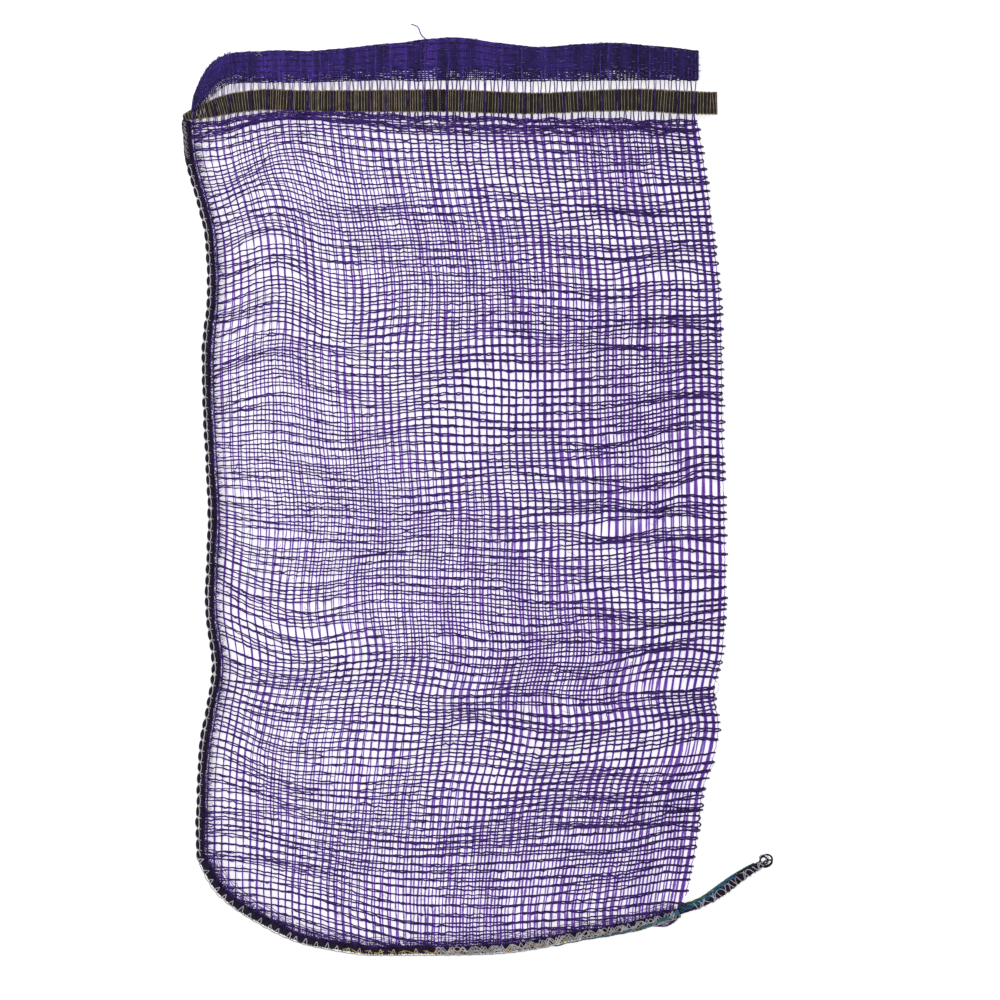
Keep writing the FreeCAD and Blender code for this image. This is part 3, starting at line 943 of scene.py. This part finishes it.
# The hem's rows as shares of its height. Those below HEM_LOOSE are loose.
HEM_LOOSE = 0.28
HEM_LEVELS = np.concatenate([np.linspace(0.01, 0.27, 6), np.linspace(0.31, 0.98, HEM_ROWS - 6)])
# Places of the hem's materials in its list. GLINT is the pale colour of the painted highlights.
YARN, FILM, RIB, GLINT, PALE = range(5)
# Route of the loose yarn end that stands out of the hem's upper edge.
LOOSE_END = [(-18.5, 284.0), (-15.6, 291.5), (-19.8, 296.5), (-22.0, 301.5), (-26.5, 303.5)]
# Two pale frayed ends that cross on the hem's upper edge.
HEM_FRAY = np.array([-123.2, 283.2, LAYER_Z[FRONT] + 0.4])


def hem_point(share_along, share_up):
    """A point of the hem band, from its lower edge at 0 to its upper edge at 1."""
    at = np.clip(share_along, 0, 1) * (len(hem_low) - 1)
    index = np.arange(len(hem_low))
    low = np.stack([np.interp(at, index, hem_low[:, k]) for k in (0, 1)], axis=-1)
    high = np.stack([np.interp(at, index, hem_high[:, k]) for k in (0, 1)], axis=-1)
    return low + (high - low) * np.reshape(share_up, (-1, 1))


def hem_share_at(x):
    """The share of the hem's length that lies at x on its lower edge."""
    return np.interp(x, hem_low[:, 0], np.linspace(0, 1, len(hem_low)))


def hem_spot():
    """A share of the hem's height for a painted glint: near the lower edge, near the upper one, or
    anywhere.
    """
    choices = [rng.uniform(0.03, 0.42), rng.uniform(0.86, 0.98), rng.uniform(0.1, 0.95)]
    return rng.choice(choices, p=[0.45, 0.2, 0.35])


def hem_glints(z):
    """Short bits of film with a painted highlight: a pale colour for the glints where they catch the light,
    mostly near the hem's two edges.
    """
    bits = []
    for _ in range(420):
        at = rng.uniform(0.01, 0.99)
        up = hem_spot()
        run = rng.uniform(0.0012, 0.0034) * np.linspace(-1, 1, 4)
        path = hem_point(at + run, np.full_like(run, up))
        path[:, 1] += rng.normal(0, 0.12, 4)
        path = np.column_stack([path, np.full_like(run, z)])
        bits.append(tube(path, rng.uniform(0.12, 0.3), 0.08, Z_AXIS, 4, 0.0, GLINT))
    return bits


def hem_edge_bights(z):
    """Small bights of yarn along the hem's upper edge, which is rough near the side seam."""
    bights = []
    draw = np.random.default_rng(31)
    run = np.linspace(-1, 1, 7)
    for _ in range(150):
        at = draw.uniform(0.0, 1.0) ** 1.7
        reach = draw.uniform(0.03, 0.085) * (1.5 if at < 0.3 else 0.7)
        path = hem_point(at + draw.uniform(0.002, 0.007) * run, 0.965 + reach * (1 - run ** 2))
        height = np.full_like(run, z + draw.uniform(-0.3, 0.3))
        # Some bights take the pale painted-highlight colour of the glints.
        width, material = draw.uniform(0.14, 0.3), int(draw.choice([YARN, FILM, RIB, GLINT]))
        bights.append(tube(np.column_stack([path, height]), width, 0.14, Z_AXIS, 5, 0.0, material))
    for lean in (-1.0, 1.0):
        path = HEM_FRAY + np.outer(run, (2.2 * lean, 1.8, 0.1))
        bights.append(tube(path, 0.46, 0.24, Z_AXIS, 5, 0.0, PALE))
    return bights


def hem_rows(cloth, level):
    """The hem's rows: close together in the band, looser and uneven at its lower edge, and parted
    towards the side seam. Every fifth row is dark."""
    rows = []
    wave = Ripple(40.0, 0.25)
    share = np.linspace(0, 1, 260)
    for i, up in enumerate(HEM_LEVELS):
        path = hem_point(share, np.full_like(share, up))
        loose = up < HEM_LOOSE
        path[:, 1] += wave(path[:, 0], path[:, 1]) + rng.normal(0, 0.16 if loose else 0.09, len(path))
        x, y = path.T
        z = level + cloth.outwards * rng.uniform(-0.1, 0.1) + 0.1 * np.sin(share * 400 + i * math.pi)
        half = ((0.42 + 0.3 * up) if loose else 0.62) * rng.uniform(0.8, 1.2, len(path))
        if loose:
            half *= 1.0 + 0.32 * np.sin(x * 0.31 + 2.0 * i) * np.sin(x * 0.073 + i)
        parted = np.clip((-118.0 - x) / 38.0, 0, 1) * (1 - 0.6 * up)
        half *= 1 - parted * (0.68 + 0.26 * np.sin(y * 0.5 + 1.7 * i))
        material = RIB if i % 5 == 1 else YARN
        rows.append(tube(np.column_stack([path, z]), half, 0.34, Y_AXIS, material=material))
    return rows


def hem_strips(cloth, level):
    """Strips of film and yarn that cross the hem's rows, over and under them."""
    strips = []
    ups = np.linspace(0.0, 0.985, 27)
    for number, column in enumerate(np.linspace(0.002, 0.998, 2 * COLUMN_COUNT)):
        x = cloth.column_x(np.array([column]), np.array([240.0]))[0]
        path = hem_point(np.full_like(ups, hem_share_at(x)) + 0.0004 * np.sin(ups * 9 + x), ups)
        over = 0.20 * np.cos(np.arange(len(ups)) * math.pi + number) + rng.uniform(0.26, 0.36)
        film = rng.uniform() < 0.36
        dark_end = np.clip((x - 30.0) / 110.0, 0, 1)
        width = (0.5 if film else 0.3 + 0.34 * dark_end) * rng.uniform(0.75, 1.2, len(ups))
        width *= rng.uniform(0.5, 1.3) * np.where(ups < 0.3, 1.7, 1.0)
        width *= 1 - 0.5 * np.clip((-118.0 - x) / 34.0, 0, 1)
        strip = np.column_stack([path, level + cloth.outwards * over])
        twist = rng.normal(0, 0.2, len(ups))
        strips.append(tube(strip, width, 0.12, X_AXIS, 4, twist, FILM if film else RIB))
    return strips


def loose_yarn_end(top):
    """The yarn end that stands out of the hem's upper edge and falls to the floor."""
    path = smooth(LOOSE_END, 0.8)
    height = np.interp(np.arange(len(path)), [0, 8, 14, len(path)], [top, top, 0.5, 0.3])
    return tube(np.column_stack([path, height]), 0.5, 0.12, Y_AXIS, 5, 0.6, FILM)


def make_hem(side):
    """The hem band: close rows and tapes, opening into a few loose rows at its lower edge."""
    cloth = cloths[side]
    level = cloth.z - cloth.outwards * (0.42 if side == FRONT else 0.6)
    parts = hem_rows(cloth, level) + hem_strips(cloth, level) + hem_glints(level + cloth.outwards * 0.62)
    parts += hem_edge_bights(cloth.z)
    if side == FRONT:
        parts.append(loose_yarn_end(cloth.z))
    hem = add_mesh("hem_" + side + "_band", parts, [HEM_YARN, HEM_TAPE, HEM_RIB, HEM_GLINT, PALE_THREAD])
    keep(hem, "hem_" + side)
    return hem


def make_hem_fold():
    """The hem's rows turning over at the right end of the mouth, with a few frayed ends."""
    parts = []
    low, high = hem_low[-1], hem_high[-1]
    turn = np.linspace(-math.pi / 2, math.pi / 2, 9)
    reach = (LAYER_Z[FRONT] - LAYER_Z[BACK]) / 2
    for i in range(HEM_ROWS):
        x, y = low + (high - low) * (i + 0.5) / HEM_ROWS
        z = SEAM_Z + reach * np.sin(turn)
        path = np.column_stack([x + 1.1 * np.cos(turn), np.full_like(turn, y), z])
        parts.append(tube(path, 0.5, 0.45, Y_AXIS))
    for _ in range(7):
        start = np.array([*(low + (high - low) * rng.uniform(0.1, 0.95)), SEAM_Z + rng.uniform(0, 3.5)])
        end = start + np.array([rng.uniform(1.5, 3.0), rng.uniform(-1.0, 1.0), rng.uniform(-0.4, 0.6)])
        path = start + (end - start) * np.linspace(0, 1, 5)[:, None]
        parts.append(tube(path, 0.16, 0.16, Z_AXIS, 5))
    keep(add_mesh("hem_fold_turns", parts, [HEM_YARN]), "hem_fold")


# How each column's pair of channel yarns leans: gap where they meet, how far they open, where they meet.
CHANNEL_PAIRS = rng.uniform((0.0, 1.0, 0.3), (0.25, 2.6, 0.55), (COLUMN_COUNT, 3))


def channel_height(cloth, up, under):
    """Height of a channel yarn along its length: level, or dipping to pass under the tape."""
    dip = (cloth.z - TAPE_HIGH[2] + 1.6) * np.clip(np.sin(up * math.pi) * 2.2, 0, 1)
    return np.full_like(up, cloth.z) - dip * under


def make_channel_yarns(side):
    """The yarns that cross the open channel, in leaning pairs, some over the tape and some under."""
    cloth = cloths[side]
    slender = 1.0 if side == FRONT else 0.8
    up = np.linspace(0, 1, 11)
    parts = []
    for number, column in enumerate(COLUMN_SHARES):
        x = cloths[FRONT].column_x(np.array([column]), np.array([238.0]))[0] + 0.15 * (1 - cloth.outwards)
        foot_y = top_at(x) - 0.8
        top = hem_point(np.array([hem_share_at(x)]), np.array([0.04]))[0]
        under = number % 5 in (1, 2, 4) and side == FRONT
        gap, opening, meeting = CHANNEL_PAIRS[number]
        for lean in (-1, 1):
            x_line = x + (top[0] - x) * up + lean * (gap + opening * np.abs(up - meeting) ** 0.9)
            y_line = foot_y + (top[1] - foot_y) * up
            path = np.stack([x_line, y_line, channel_height(cloth, up, under)], axis=1)
            width = (rng.uniform(0.24, 0.38) + 0.9 * np.clip(0.25 - up, 0, 1)) * slender
            spin = rng.uniform(-0.5, 0.5) + rng.normal(0, 0.4) * up
            parts.append(tube(path, width, 0.12, X_AXIS, 5, spin))
    piece = add_mesh("channel_yarns_" + side + "_pairs", parts, [CHANNEL_TAPE])
    keep(piece, "channel_yarns_" + side)
    return piece


# -------- drawstring
TAPE_THICKNESS, TAPE_STEP = 0.8, 0.3
# Where dark threads cross the tape's front run.
JOIN_X = -11.0
# Pitch of the ground's ribs, and the steps between the pale ribs, most of which skip one or two places.
RIB_PITCH = 1.25
RIB_STEPS = (1.25, 1.9, 1.9, 1.9, 2.5)
SELVEDGE_PITCH = 2.5


def sewn_drop(x):
    """How far the tape's two runs have come together, from 0 in the channel to 1 at the sewn end."""
    return np.clip((-150.0 - x) / 22.0, 0, 1) ** 1.5


def tape_centre():
    """Middle line of the whole tape, from its sewn end at the back, round the loop, to the front."""
    line = spans(TAPE_LINE, 40)
    low_z, high_z = TAPE_LOW[2] + 0.45, TAPE_HIGH[2] - 0.45
    drop = sewn_drop(line[:, 0])
    middle = (low_z + high_z) / 2
    front = np.column_stack([line[:, :2], high_z - (high_z - middle - 0.5) * drop, line[:, 2]])
    back = np.column_stack([line[:, :2], low_z + (middle - low_z - 0.5) * drop, line[:, 2]])
    back[:, 1] += 0.9
    turn = np.linspace(-math.pi / 2, math.pi / 2, 13)[1:-1]
    end = line[-1]
    radius = (high_z - low_z) / 2
    reach = TAPE_HIGH[0] - 0.45 - end[0]
    loop = np.column_stack([end[0] + reach * np.cos(turn), np.full_like(turn, end[1]),
                            middle + radius * np.sin(turn), np.full_like(turn, end[2])])
    loop[:, 1] += 0.9 * (1 - (turn / math.pi + 0.5))
    return np.vstack([back, loop, front[::-1]])


def resample_space(line, step):
    """Resample a line with extra columns by its length in space."""
    length = np.concatenate([[0], np.cumsum(np.linalg.norm(np.diff(line[:, :3], axis=0), axis=1))])
    at = np.linspace(0, length[-1], int(length[-1] / step) + 1)
    return np.stack([np.interp(at, length, line[:, k]) for k in range(line.shape[1])], axis=1)


def make_tape():
    """The flat woven tape: a dark ribbed ground, paler ribs across it and stitched selvedges."""
    line = resample_space(tape_centre(), TAPE_STEP)
    path, half = line[:, :3], line[:, 3]
    along = np.arange(len(line)) * TAPE_STEP
    rib = 0.5 + 0.5 * np.sin(TAU * along / RIB_PITCH)
    ground_height = TAPE_THICKNESS / 2 * (0.72 + 0.28 * rib)
    parts = [tube(path, half - 0.1 + 0.2 * rib, ground_height, Y_AXIS, 10)]
    at = 2.0
    while at < len(line) - 3:
        parts.append(pale_rib(path, half, int(at)))
        sparse = 0.86 if path[int(at), 0] < 20.0 else 0.98
        at += sparse * rng.choice(RIB_STEPS) / TAPE_STEP + rng.normal(0, 0.3)
    stitch = np.sin(TAU * along / SELVEDGE_PITCH)
    buried = 0.72 + 0.45 * stitch
    for edge in (-1, 1):
        swing = (half - 0.45 + 0.4 * stitch)[:, None] * edge * Y_AXIS
        height = (TAPE_THICKNESS / 2 + 0.06) * buried
        parts.append(tube(path + swing, 0.3 * buried, height, Y_AXIS, material=1))
    parts += crossed_join(path, half)
    tape = add_mesh("drawstring_woven_tape", parts, [TAPE_BASE, TAPE_RIB, SEAM_YARN])
    settle(tape, "drawstring_tape", "drawstring")


def crossed_join(path, half):
    """Dark threads that cross the tape's front run in a row of diamonds, over a join in its weave."""
    front = path[:, 2] > TAPE_HIGH[2] - 0.6
    i = np.flatnonzero(front & (np.abs(path[:, 0] - JOIN_X) < 7.0))
    threads = []
    for start in range(3):
        for lean in (-1, 1):
            up = np.linspace(-1, 1, 33)
            x = JOIN_X + 4.6 * (start - 1) + lean * 2.3 * (2 * np.abs((up * 2.0) % 1.0 - 0.5) - 0.5)
            y = path[i, 1].mean() + (half[i].mean() - 0.4) * up
            z = np.full_like(up, path[i, 2].mean() + TAPE_THICKNESS / 2 + 0.16)
            threads.append(tube(np.column_stack([x, y, z]), 0.42, 0.2, X_AXIS, 5, 0.0, 2))
    return threads


def pale_rib(path, half, i):
    """One pale weft rib lying across both faces of the tape and round its edges."""
    centre = path[i]
    along = path[min(i + 1, len(path) - 1)] - path[max(i - 1, 0)]
    along /= np.linalg.norm(along)
    across = Y_AXIS - (Y_AXIS @ along) * along
    across /= np.linalg.norm(across)
    normal = np.cross(along, across)
    turn = np.linspace(0, TAU, 25)
    width, height = half[i] + 0.12, TAPE_THICKNESS / 2 + 0.02
    flat = np.sign(np.cos(turn)) * np.abs(np.cos(turn)) ** 0.5
    tall = np.sign(np.sin(turn)) * np.abs(np.sin(turn)) ** 0.22
    ring = centre + (width * flat)[:, None] * across + (height * tall)[:, None] * normal
    ring += along * (0.06 * np.sin(turn + i))[:, None]
    return tube(ring, rng.uniform(0.12, 0.21), 0.13, along, 5, 0.0, 1)


def make_tack():
    """The stitches that hold the tape's two ends together where they are caught in the side seam."""
    parts = []
    low, high = node_box("drawstring_tack")
    middle_z = (low[2] + high[2]) / 2
    turn = np.linspace(0, TAU, 25)
    tape_x, tape_y, _ = zip(*TAPE_LINE)
    for i in range(9):
        x = low[0] - 3.5 + i * 1.25
        centre_y = np.interp(x, tape_x, tape_y)
        reach_z = 0.7 + (TAPE_HIGH[2] - middle_z - 0.2) * (1 - sewn_drop(x))
        path = np.column_stack([x + 0.5 * np.sin(turn), centre_y + 2.6 * np.cos(turn),
                                middle_z + reach_z * np.sin(turn)])
        parts.append(tube(path, 0.26, 0.22, X_AXIS, material=i % 2))
    tack = add_mesh("drawstring_tack_stitches", parts, [SEAM_YARN, PALE_THREAD])
    settle(tack, "drawstring_tack", "drawstring")


# -------- seams
seam_length = arc_length(seam_line)
SEAM_END = seam_length[-1]
CORNER_START = seam_length[int(np.argmin(np.abs(seam_line[:, 1] + 230.0)))]
BOTTOM_START = seam_length[int(np.argmin(np.hypot(seam_line[:, 0] + 105.0, seam_line[:, 1] + 285.0)))]
STITCH_PITCH = 7.1
# Threads of the close braid along the bottom: pitch, distance in from the edge, swing and phase.
BRAID = (
    (9.2, 2.2, 1.7, 0.0), (9.2, 2.2, 1.7, 3.1), (8.3, 4.5, 1.6, 1.0),
    (8.3, 4.5, 1.6, 4.1), (11.5, 3.3, 2.4, 2.0), (10.4, 3.3, 2.2, 5.0),
)
# The close braid begins this far along the bottom seam, and stops this far before its end.
BRAID_START, BRAID_STOP = 95.0, 4.0
# Coloured threads that cross the bottom seam's end: length, distance in from the edge at each end, and
# material, which is 1 for blue and 2 for green.
CROSSING_THREADS = (
    (66.0, 0.9, 4.2, 1), (84.0, 0.1, 2.8, 2), (58.0, 0.4, 3.4, 1), (44.0, 1.5, 5.0, 1), (34.0, 0.2, 5.6, 2),
)
# Length of the seam below the mouth where its chain of loops is hidden in the roll.
BARE_SEAM = 24.0
# Places of the rolls' materials in their list: the seam's own yarn, the net's rows and its columns.
OWN, NET_ROW, NET_COLUMN = range(3)


def seam_points(along, inset, z):
    """Points beside the seam: distance along it from the mouth, distance in from its outer edge, height."""
    along = np.asarray(along, float)
    x = np.interp(along, seam_length, seam_line[:, 0])
    y = np.interp(along, seam_length, seam_line[:, 1])
    tangent = np.gradient(seam_line, axis=0)
    tx = np.interp(along, seam_length, tangent[:, 0])
    ty = np.interp(along, seam_length, tangent[:, 1])
    size = np.hypot(tx, ty)
    return np.column_stack([x - ty / size * inset, y + tx / size * inset, np.broadcast_to(z, along.shape)])


def seam_across(along):
    """Unit vectors across the seam, from its outer edge to its inner one."""
    inner, outer = seam_points(along, 1.0, 0.0), seam_points(along, 0.0, 0.0)
    return inner - outer


def seam_core(name, node, start, stop, inset, half_width, half_height, caught=0):
    """The dark overlocked roll, with the slanted ridges of the yarn wound over it."""
    along = np.arange(start, stop, 0.42)
    wander = 0.25 * np.sin(along * 0.13) + 0.12 * np.sin(along * 0.71)
    path = seam_points(along, inset + wander, SEAM_Z)
    sides = 14
    angle = TAU * (np.arange(sides) + 0.5) / sides
    relief = 1 + 0.07 * np.sin(TAU * along[:, None] / 1.7 + 2 * angle)
    relief = relief + 0.06 * rng.normal(size=(len(along), 1))
    across = seam_across(along)
    parts = [tube(path, half_width, half_height, across, sides, relief=relief)]
    for _ in range(int((stop - start) * 4.0)):
        parts.append(stray_fibre(rng.uniform(start + 1, stop - 1), inset + half_width * 0.55, half_height))
    parts += caught_rows(start, stop, inset + half_width + 0.4, caught)
    if stop == SEAM_END:
        parts += net_corner_lump()
    keep(add_mesh(name, parts, [SEAM_YARN, ROW_YARN, COLUMN_TAPE]), node)


def caught_rows(start, stop, first_inset, count):
    """Net rows bunched up beside the seam, which they follow."""
    rows = []
    for number in range(count):
        along = np.arange(start, stop, 2.2)
        inset = first_inset + 1.3 * number + rng.normal(0, 0.4, len(along))
        path = seam_points(along, inset, SEAM_Z + 2.0 + 0.3 * number)
        width = 0.5 * rng.uniform(0.6, 1.3, len(along))
        rows.append(tube(path, width, 0.25, Z_AXIS, 5, 0.0, (NET_ROW, NET_COLUMN)[number % 2]))
    return rows


def stray_fibre(at, inset, half_height):
    """The cut end of a net yarn, caught in the seam and lying on the net beside it."""
    up = np.linspace(0, 1, 5)
    slope = rng.uniform(-3.2, 3.2)
    reach = rng.uniform(1.6, 5.2) + 3.0 * max(0.0, 1 - at / 55.0)
    start = inset + rng.uniform(-0.6, 0.8)
    path = seam_points(at + slope * up, start + reach * up, SEAM_Z + half_height * (0.8 - 0.35 * up))
    thick = rng.uniform(0.2, 0.42)
    return tube(path, thick, 0.14, Z_AXIS, 4, 0.0, int(rng.choice([OWN, NET_ROW, NET_ROW, NET_COLUMN])))


def bead(middle, length, inset, bare):
    """One lens-shaped bead of yarn between two stitches. In the bare stretch beads meet end to end."""
    run = np.linspace(-1, 1, 11)
    swell = np.clip(1 - run ** 2, 0.01, 1) ** (0.35 if bare else 0.6)
    slant = rng.uniform(-0.5, 0.5) * run
    along = middle + length * run
    width = 1.5 if bare else 1.35
    path = seam_points(along, inset + slant, SEAM_Z + 0.5)
    return tube(path, width * swell, 1.5 * swell, seam_across(along), 10)


def chain_loop(at, middle, length, inset):
    """The loop of pale thread round a bead, and the bar that crosses the seam above it."""
    turn = np.linspace(0, TAU, 25)
    width = rng.uniform(1.25, 1.5)
    around = middle + (length + 0.25) * np.cos(turn)
    loop = seam_points(around, inset + 0.1 + width * np.sin(turn), SEAM_Z + 1.9 + 0.5 * np.sin(turn))
    thick = 0.22 + 0.13 * np.sin(turn)
    up = np.linspace(0, 1, 9)
    across = at - 0.5 + rng.uniform(0.2, 1.3) * up
    bar = seam_points(across, 2.2 + 1.9 * up, SEAM_Z + 2.5 + 0.9 * np.sin(up * 2.6))
    return [tube(loop, thick, thick, Z_AXIS), tube(bar, 0.24, 0.22, Z_AXIS)]


def make_side_seam():
    """The side seam: its dark roll, the beads along its edge and the chain of pale loops round them."""
    seam_core("side_seam_roll", "side_seam_core", 0.0, CORNER_START, 4.2, 1.85, 3.0, 2)
    beads, chain = [], []
    for at in np.arange(0.5, CORNER_START - 3.0, STITCH_PITCH):
        bare = at < BARE_SEAM
        inset = (1.9 if bare else 1.5) + rng.normal(0, 0.14)
        length = STITCH_PITCH * (0.75 if bare else rng.uniform(0.43, 0.49))
        middle = at + STITCH_PITCH / 2
        beads.append(bead(middle, length, inset, bare))
        if not bare:
            chain += chain_loop(at, middle, length, inset)
    beads.append(seam_cap())
    chain += bare_seam_threads()
    keep(add_mesh("side_seam_beads", beads, [SEAM_YARN]), "side_seam_looper")
    keep(add_mesh("side_seam_chain_thread", chain, [PALE_THREAD]), "side_seam_chain")


def seam_cap():
    """The roll's rounded upper end, which runs under the tape's sewn end."""
    path = seam_points([0.0, 0.0, 0.0, 0.0, 2.0], 2.9, SEAM_Z - 0.6)
    path[:, 1] += np.array([2.6, 2.2, 1.4, 0.6, 0.0])
    width, height = np.array([0.3, 1.2, 1.9, 2.3, 2.3]), np.array([0.3, 1.0, 1.6, 2.0, 2.2])
    return tube(path, width, height, X_AXIS, 12)


def bare_seam_threads():
    """Thin pale threads that lie slanted over the roll just below the mouth."""
    threads = []
    up = np.linspace(-0.5, 0.5, 5)
    for at in np.arange(0.6, BARE_SEAM, 0.55):
        slant, reach = rng.uniform(0.8, 2.4), rng.uniform(1.0, 2.6)
        path = seam_points(at + slant * up, rng.uniform(1.2, 3.2) + reach * up, SEAM_Z + 2.9)
        threads.append(tube(path, rng.uniform(0.1, 0.2), 0.12, Z_AXIS, 4))
    return threads


def roll_top(inset):
    """How far the roll's domed top falls away at a distance in from its outer edge: 0 over its middle."""
    return -2.4 * ((inset - 3.9) / 3.6) ** 2


def zigzag(start, stop, pitch, low_inset, high_inset, base):
    """A thread going along the seam's edge, with one narrow uneven spike across the seam each pitch.
    base is the spike's width as a share of the pitch."""
    along = np.arange(start, stop, 0.35)
    number = ((along - start) / pitch).astype(int)
    height = rng.uniform(0.72, 1.08, number[-1] + 1)[number]
    centre = 0.5 + rng.uniform(-0.12, 0.12, number[-1] + 1)[number]
    share = ((along - start) / pitch) % 1.0
    rise = np.clip(1 - np.abs(share - centre) / base, 0, 1) ** 0.8
    return along, low_inset + (high_inset * height - low_inset) * rise


def make_corner_seam():
    """The rounded corner's dark roll and its blanket stitches."""
    seam_core("corner_seam_roll", "corner_seam_core", CORNER_START, BOTTOM_START, 3.9, 2.9, 3.3, 6)
    stitches = blanket_stitches(CORNER_START, BOTTOM_START)
    piece = add_mesh("corner_blanket_stitches", stitches, [PALE_THREAD])
    keep(piece, "corner_seam_stitches")


def blanket_stitches(start, stop):
    """Pale inverted-V stitches over the roll, joined by a thread along its outer edge."""
    along, inset = zigzag(start, stop, STITCH_PITCH, 0.4, 5.6, 0.22)
    spikes = seam_points(along, inset, SEAM_Z + 3.55 + roll_top(inset))
    edge = 0.35 + 0.25 * np.sin(TAU * along / STITCH_PITCH)
    edge_thread = seam_points(along, edge, SEAM_Z + 0.9)
    return [tube(path, 0.3, 0.26, Z_AXIS) for path in (spikes, edge_thread)]


def net_corner_lump():
    """The net's bunched corner, which shows below the seam where the tail begins."""
    lump = []
    t = np.linspace(0, 1, 13)
    for number in range(6):
        along = SEAM_END - 25.0 + 24.0 * t
        inset = 1.6 - (0.7 + 0.62 * number) * np.sin(math.pi * t ** 1.5) - 0.15 * np.sin(t * 17.0 + number)
        path = seam_points(along, inset, SEAM_Z - 0.6 + 0.25 * number)
        lump.append(tube(path, 0.46, 0.3, Z_AXIS, 5, 0.0, NET_ROW))
    for number in range(8):
        across = np.linspace(0, 1, 5)
        outer = 3.9 * math.sin(math.pi * (0.12 + 0.1 * number) ** 1.5)
        along = SEAM_END - 22.0 + 2.5 * number + 1.2 * across
        path = seam_points(along, 1.6 - outer * across, SEAM_Z + 0.9)
        lump.append(tube(path, 0.5, 0.2, Z_AXIS, 5, 0.0, (NET_ROW, NET_COLUMN)[number % 2]))
    return lump


def bottom_braid():
    """The close braid of pale threads over the later part of the bottom seam."""
    braid = []
    along = np.arange(BOTTOM_START + BRAID_START, SEAM_END - BRAID_STOP, 0.35)
    for pitch, middle, swing, phase in BRAID:
        turn = TAU * along / pitch + phase + 1.1 * np.sin(along * 0.23 + phase)
        inset = middle + swing * np.sin(turn) + 0.2 * np.sin(along * 1.3 + phase)
        height = SEAM_Z + 3.8 + roll_top(inset) + 0.25 * np.cos(turn)
        braid.append(tube(seam_points(along + 0.6 * np.cos(turn), inset, height), 0.33, 0.24, Z_AXIS))
    return braid


def crossing_threads():
    """Blue and green threads that cross the seam's end, from its outer edge to the tail's left side."""
    threads = []
    for run, first, last, material in CROSSING_THREADS:
        along = np.arange(SEAM_END - run, SEAM_END, 0.5)
        inset = first + (last - first) * np.linspace(0, 1, len(along)) ** 1.6 + 0.25 * np.sin(along * 0.6)
        path = seam_points(along, inset, SEAM_Z + 4.1 + roll_top(inset) + 0.3 * np.sin(along * 0.45))
        threads.append(tube(path, 0.48, 0.34, Z_AXIS, 6, along * 1.2, material))
    return threads


def yellow_thread():
    """The golden thread, which dips in and out of the stitches."""
    along = np.arange(BOTTOM_START + 35.0, SEAM_END - 6.0, 0.5)
    dip = np.sin(along * 0.83) + 0.6 * np.sin(along * 0.37)
    path = seam_points(along, 3.0 + 0.7 * np.sin(along * 0.52), SEAM_Z + 3.2 + 0.7 * dip)
    return tube(path, 0.42, 0.3, Z_AXIS)


def make_bottom_seam():
    """The bottom seam's dark roll, its pale and coloured threads and the golden one."""
    seam_core("bottom_seam_roll", "bottom_seam_core", BOTTOM_START, SEAM_END, 3.8, 2.8, 3.3, 5)
    stitches = blanket_stitches(BOTTOM_START, SEAM_END) + bottom_braid() + crossing_threads()
    piece = add_mesh("bottom_seam_threads", stitches, [PALE_THREAD, BLUE_THREAD, GREEN_THREAD])
    keep(piece, "bottom_seam_stitches")
    yellow = add_mesh("bottom_yellow_thread", [yellow_thread()], [YELLOW_THREAD])
    keep(yellow, "bottom_seam_yellow_thread")


for side in (BACK, FRONT):
    net = make_net(side)
    knitted_on = [make_hem(side), make_channel_yarns(side)]
make_net_fold()
make_hem_fold()
make_tape()
make_tack()
make_side_seam()
make_corner_seam()
make_bottom_seam()
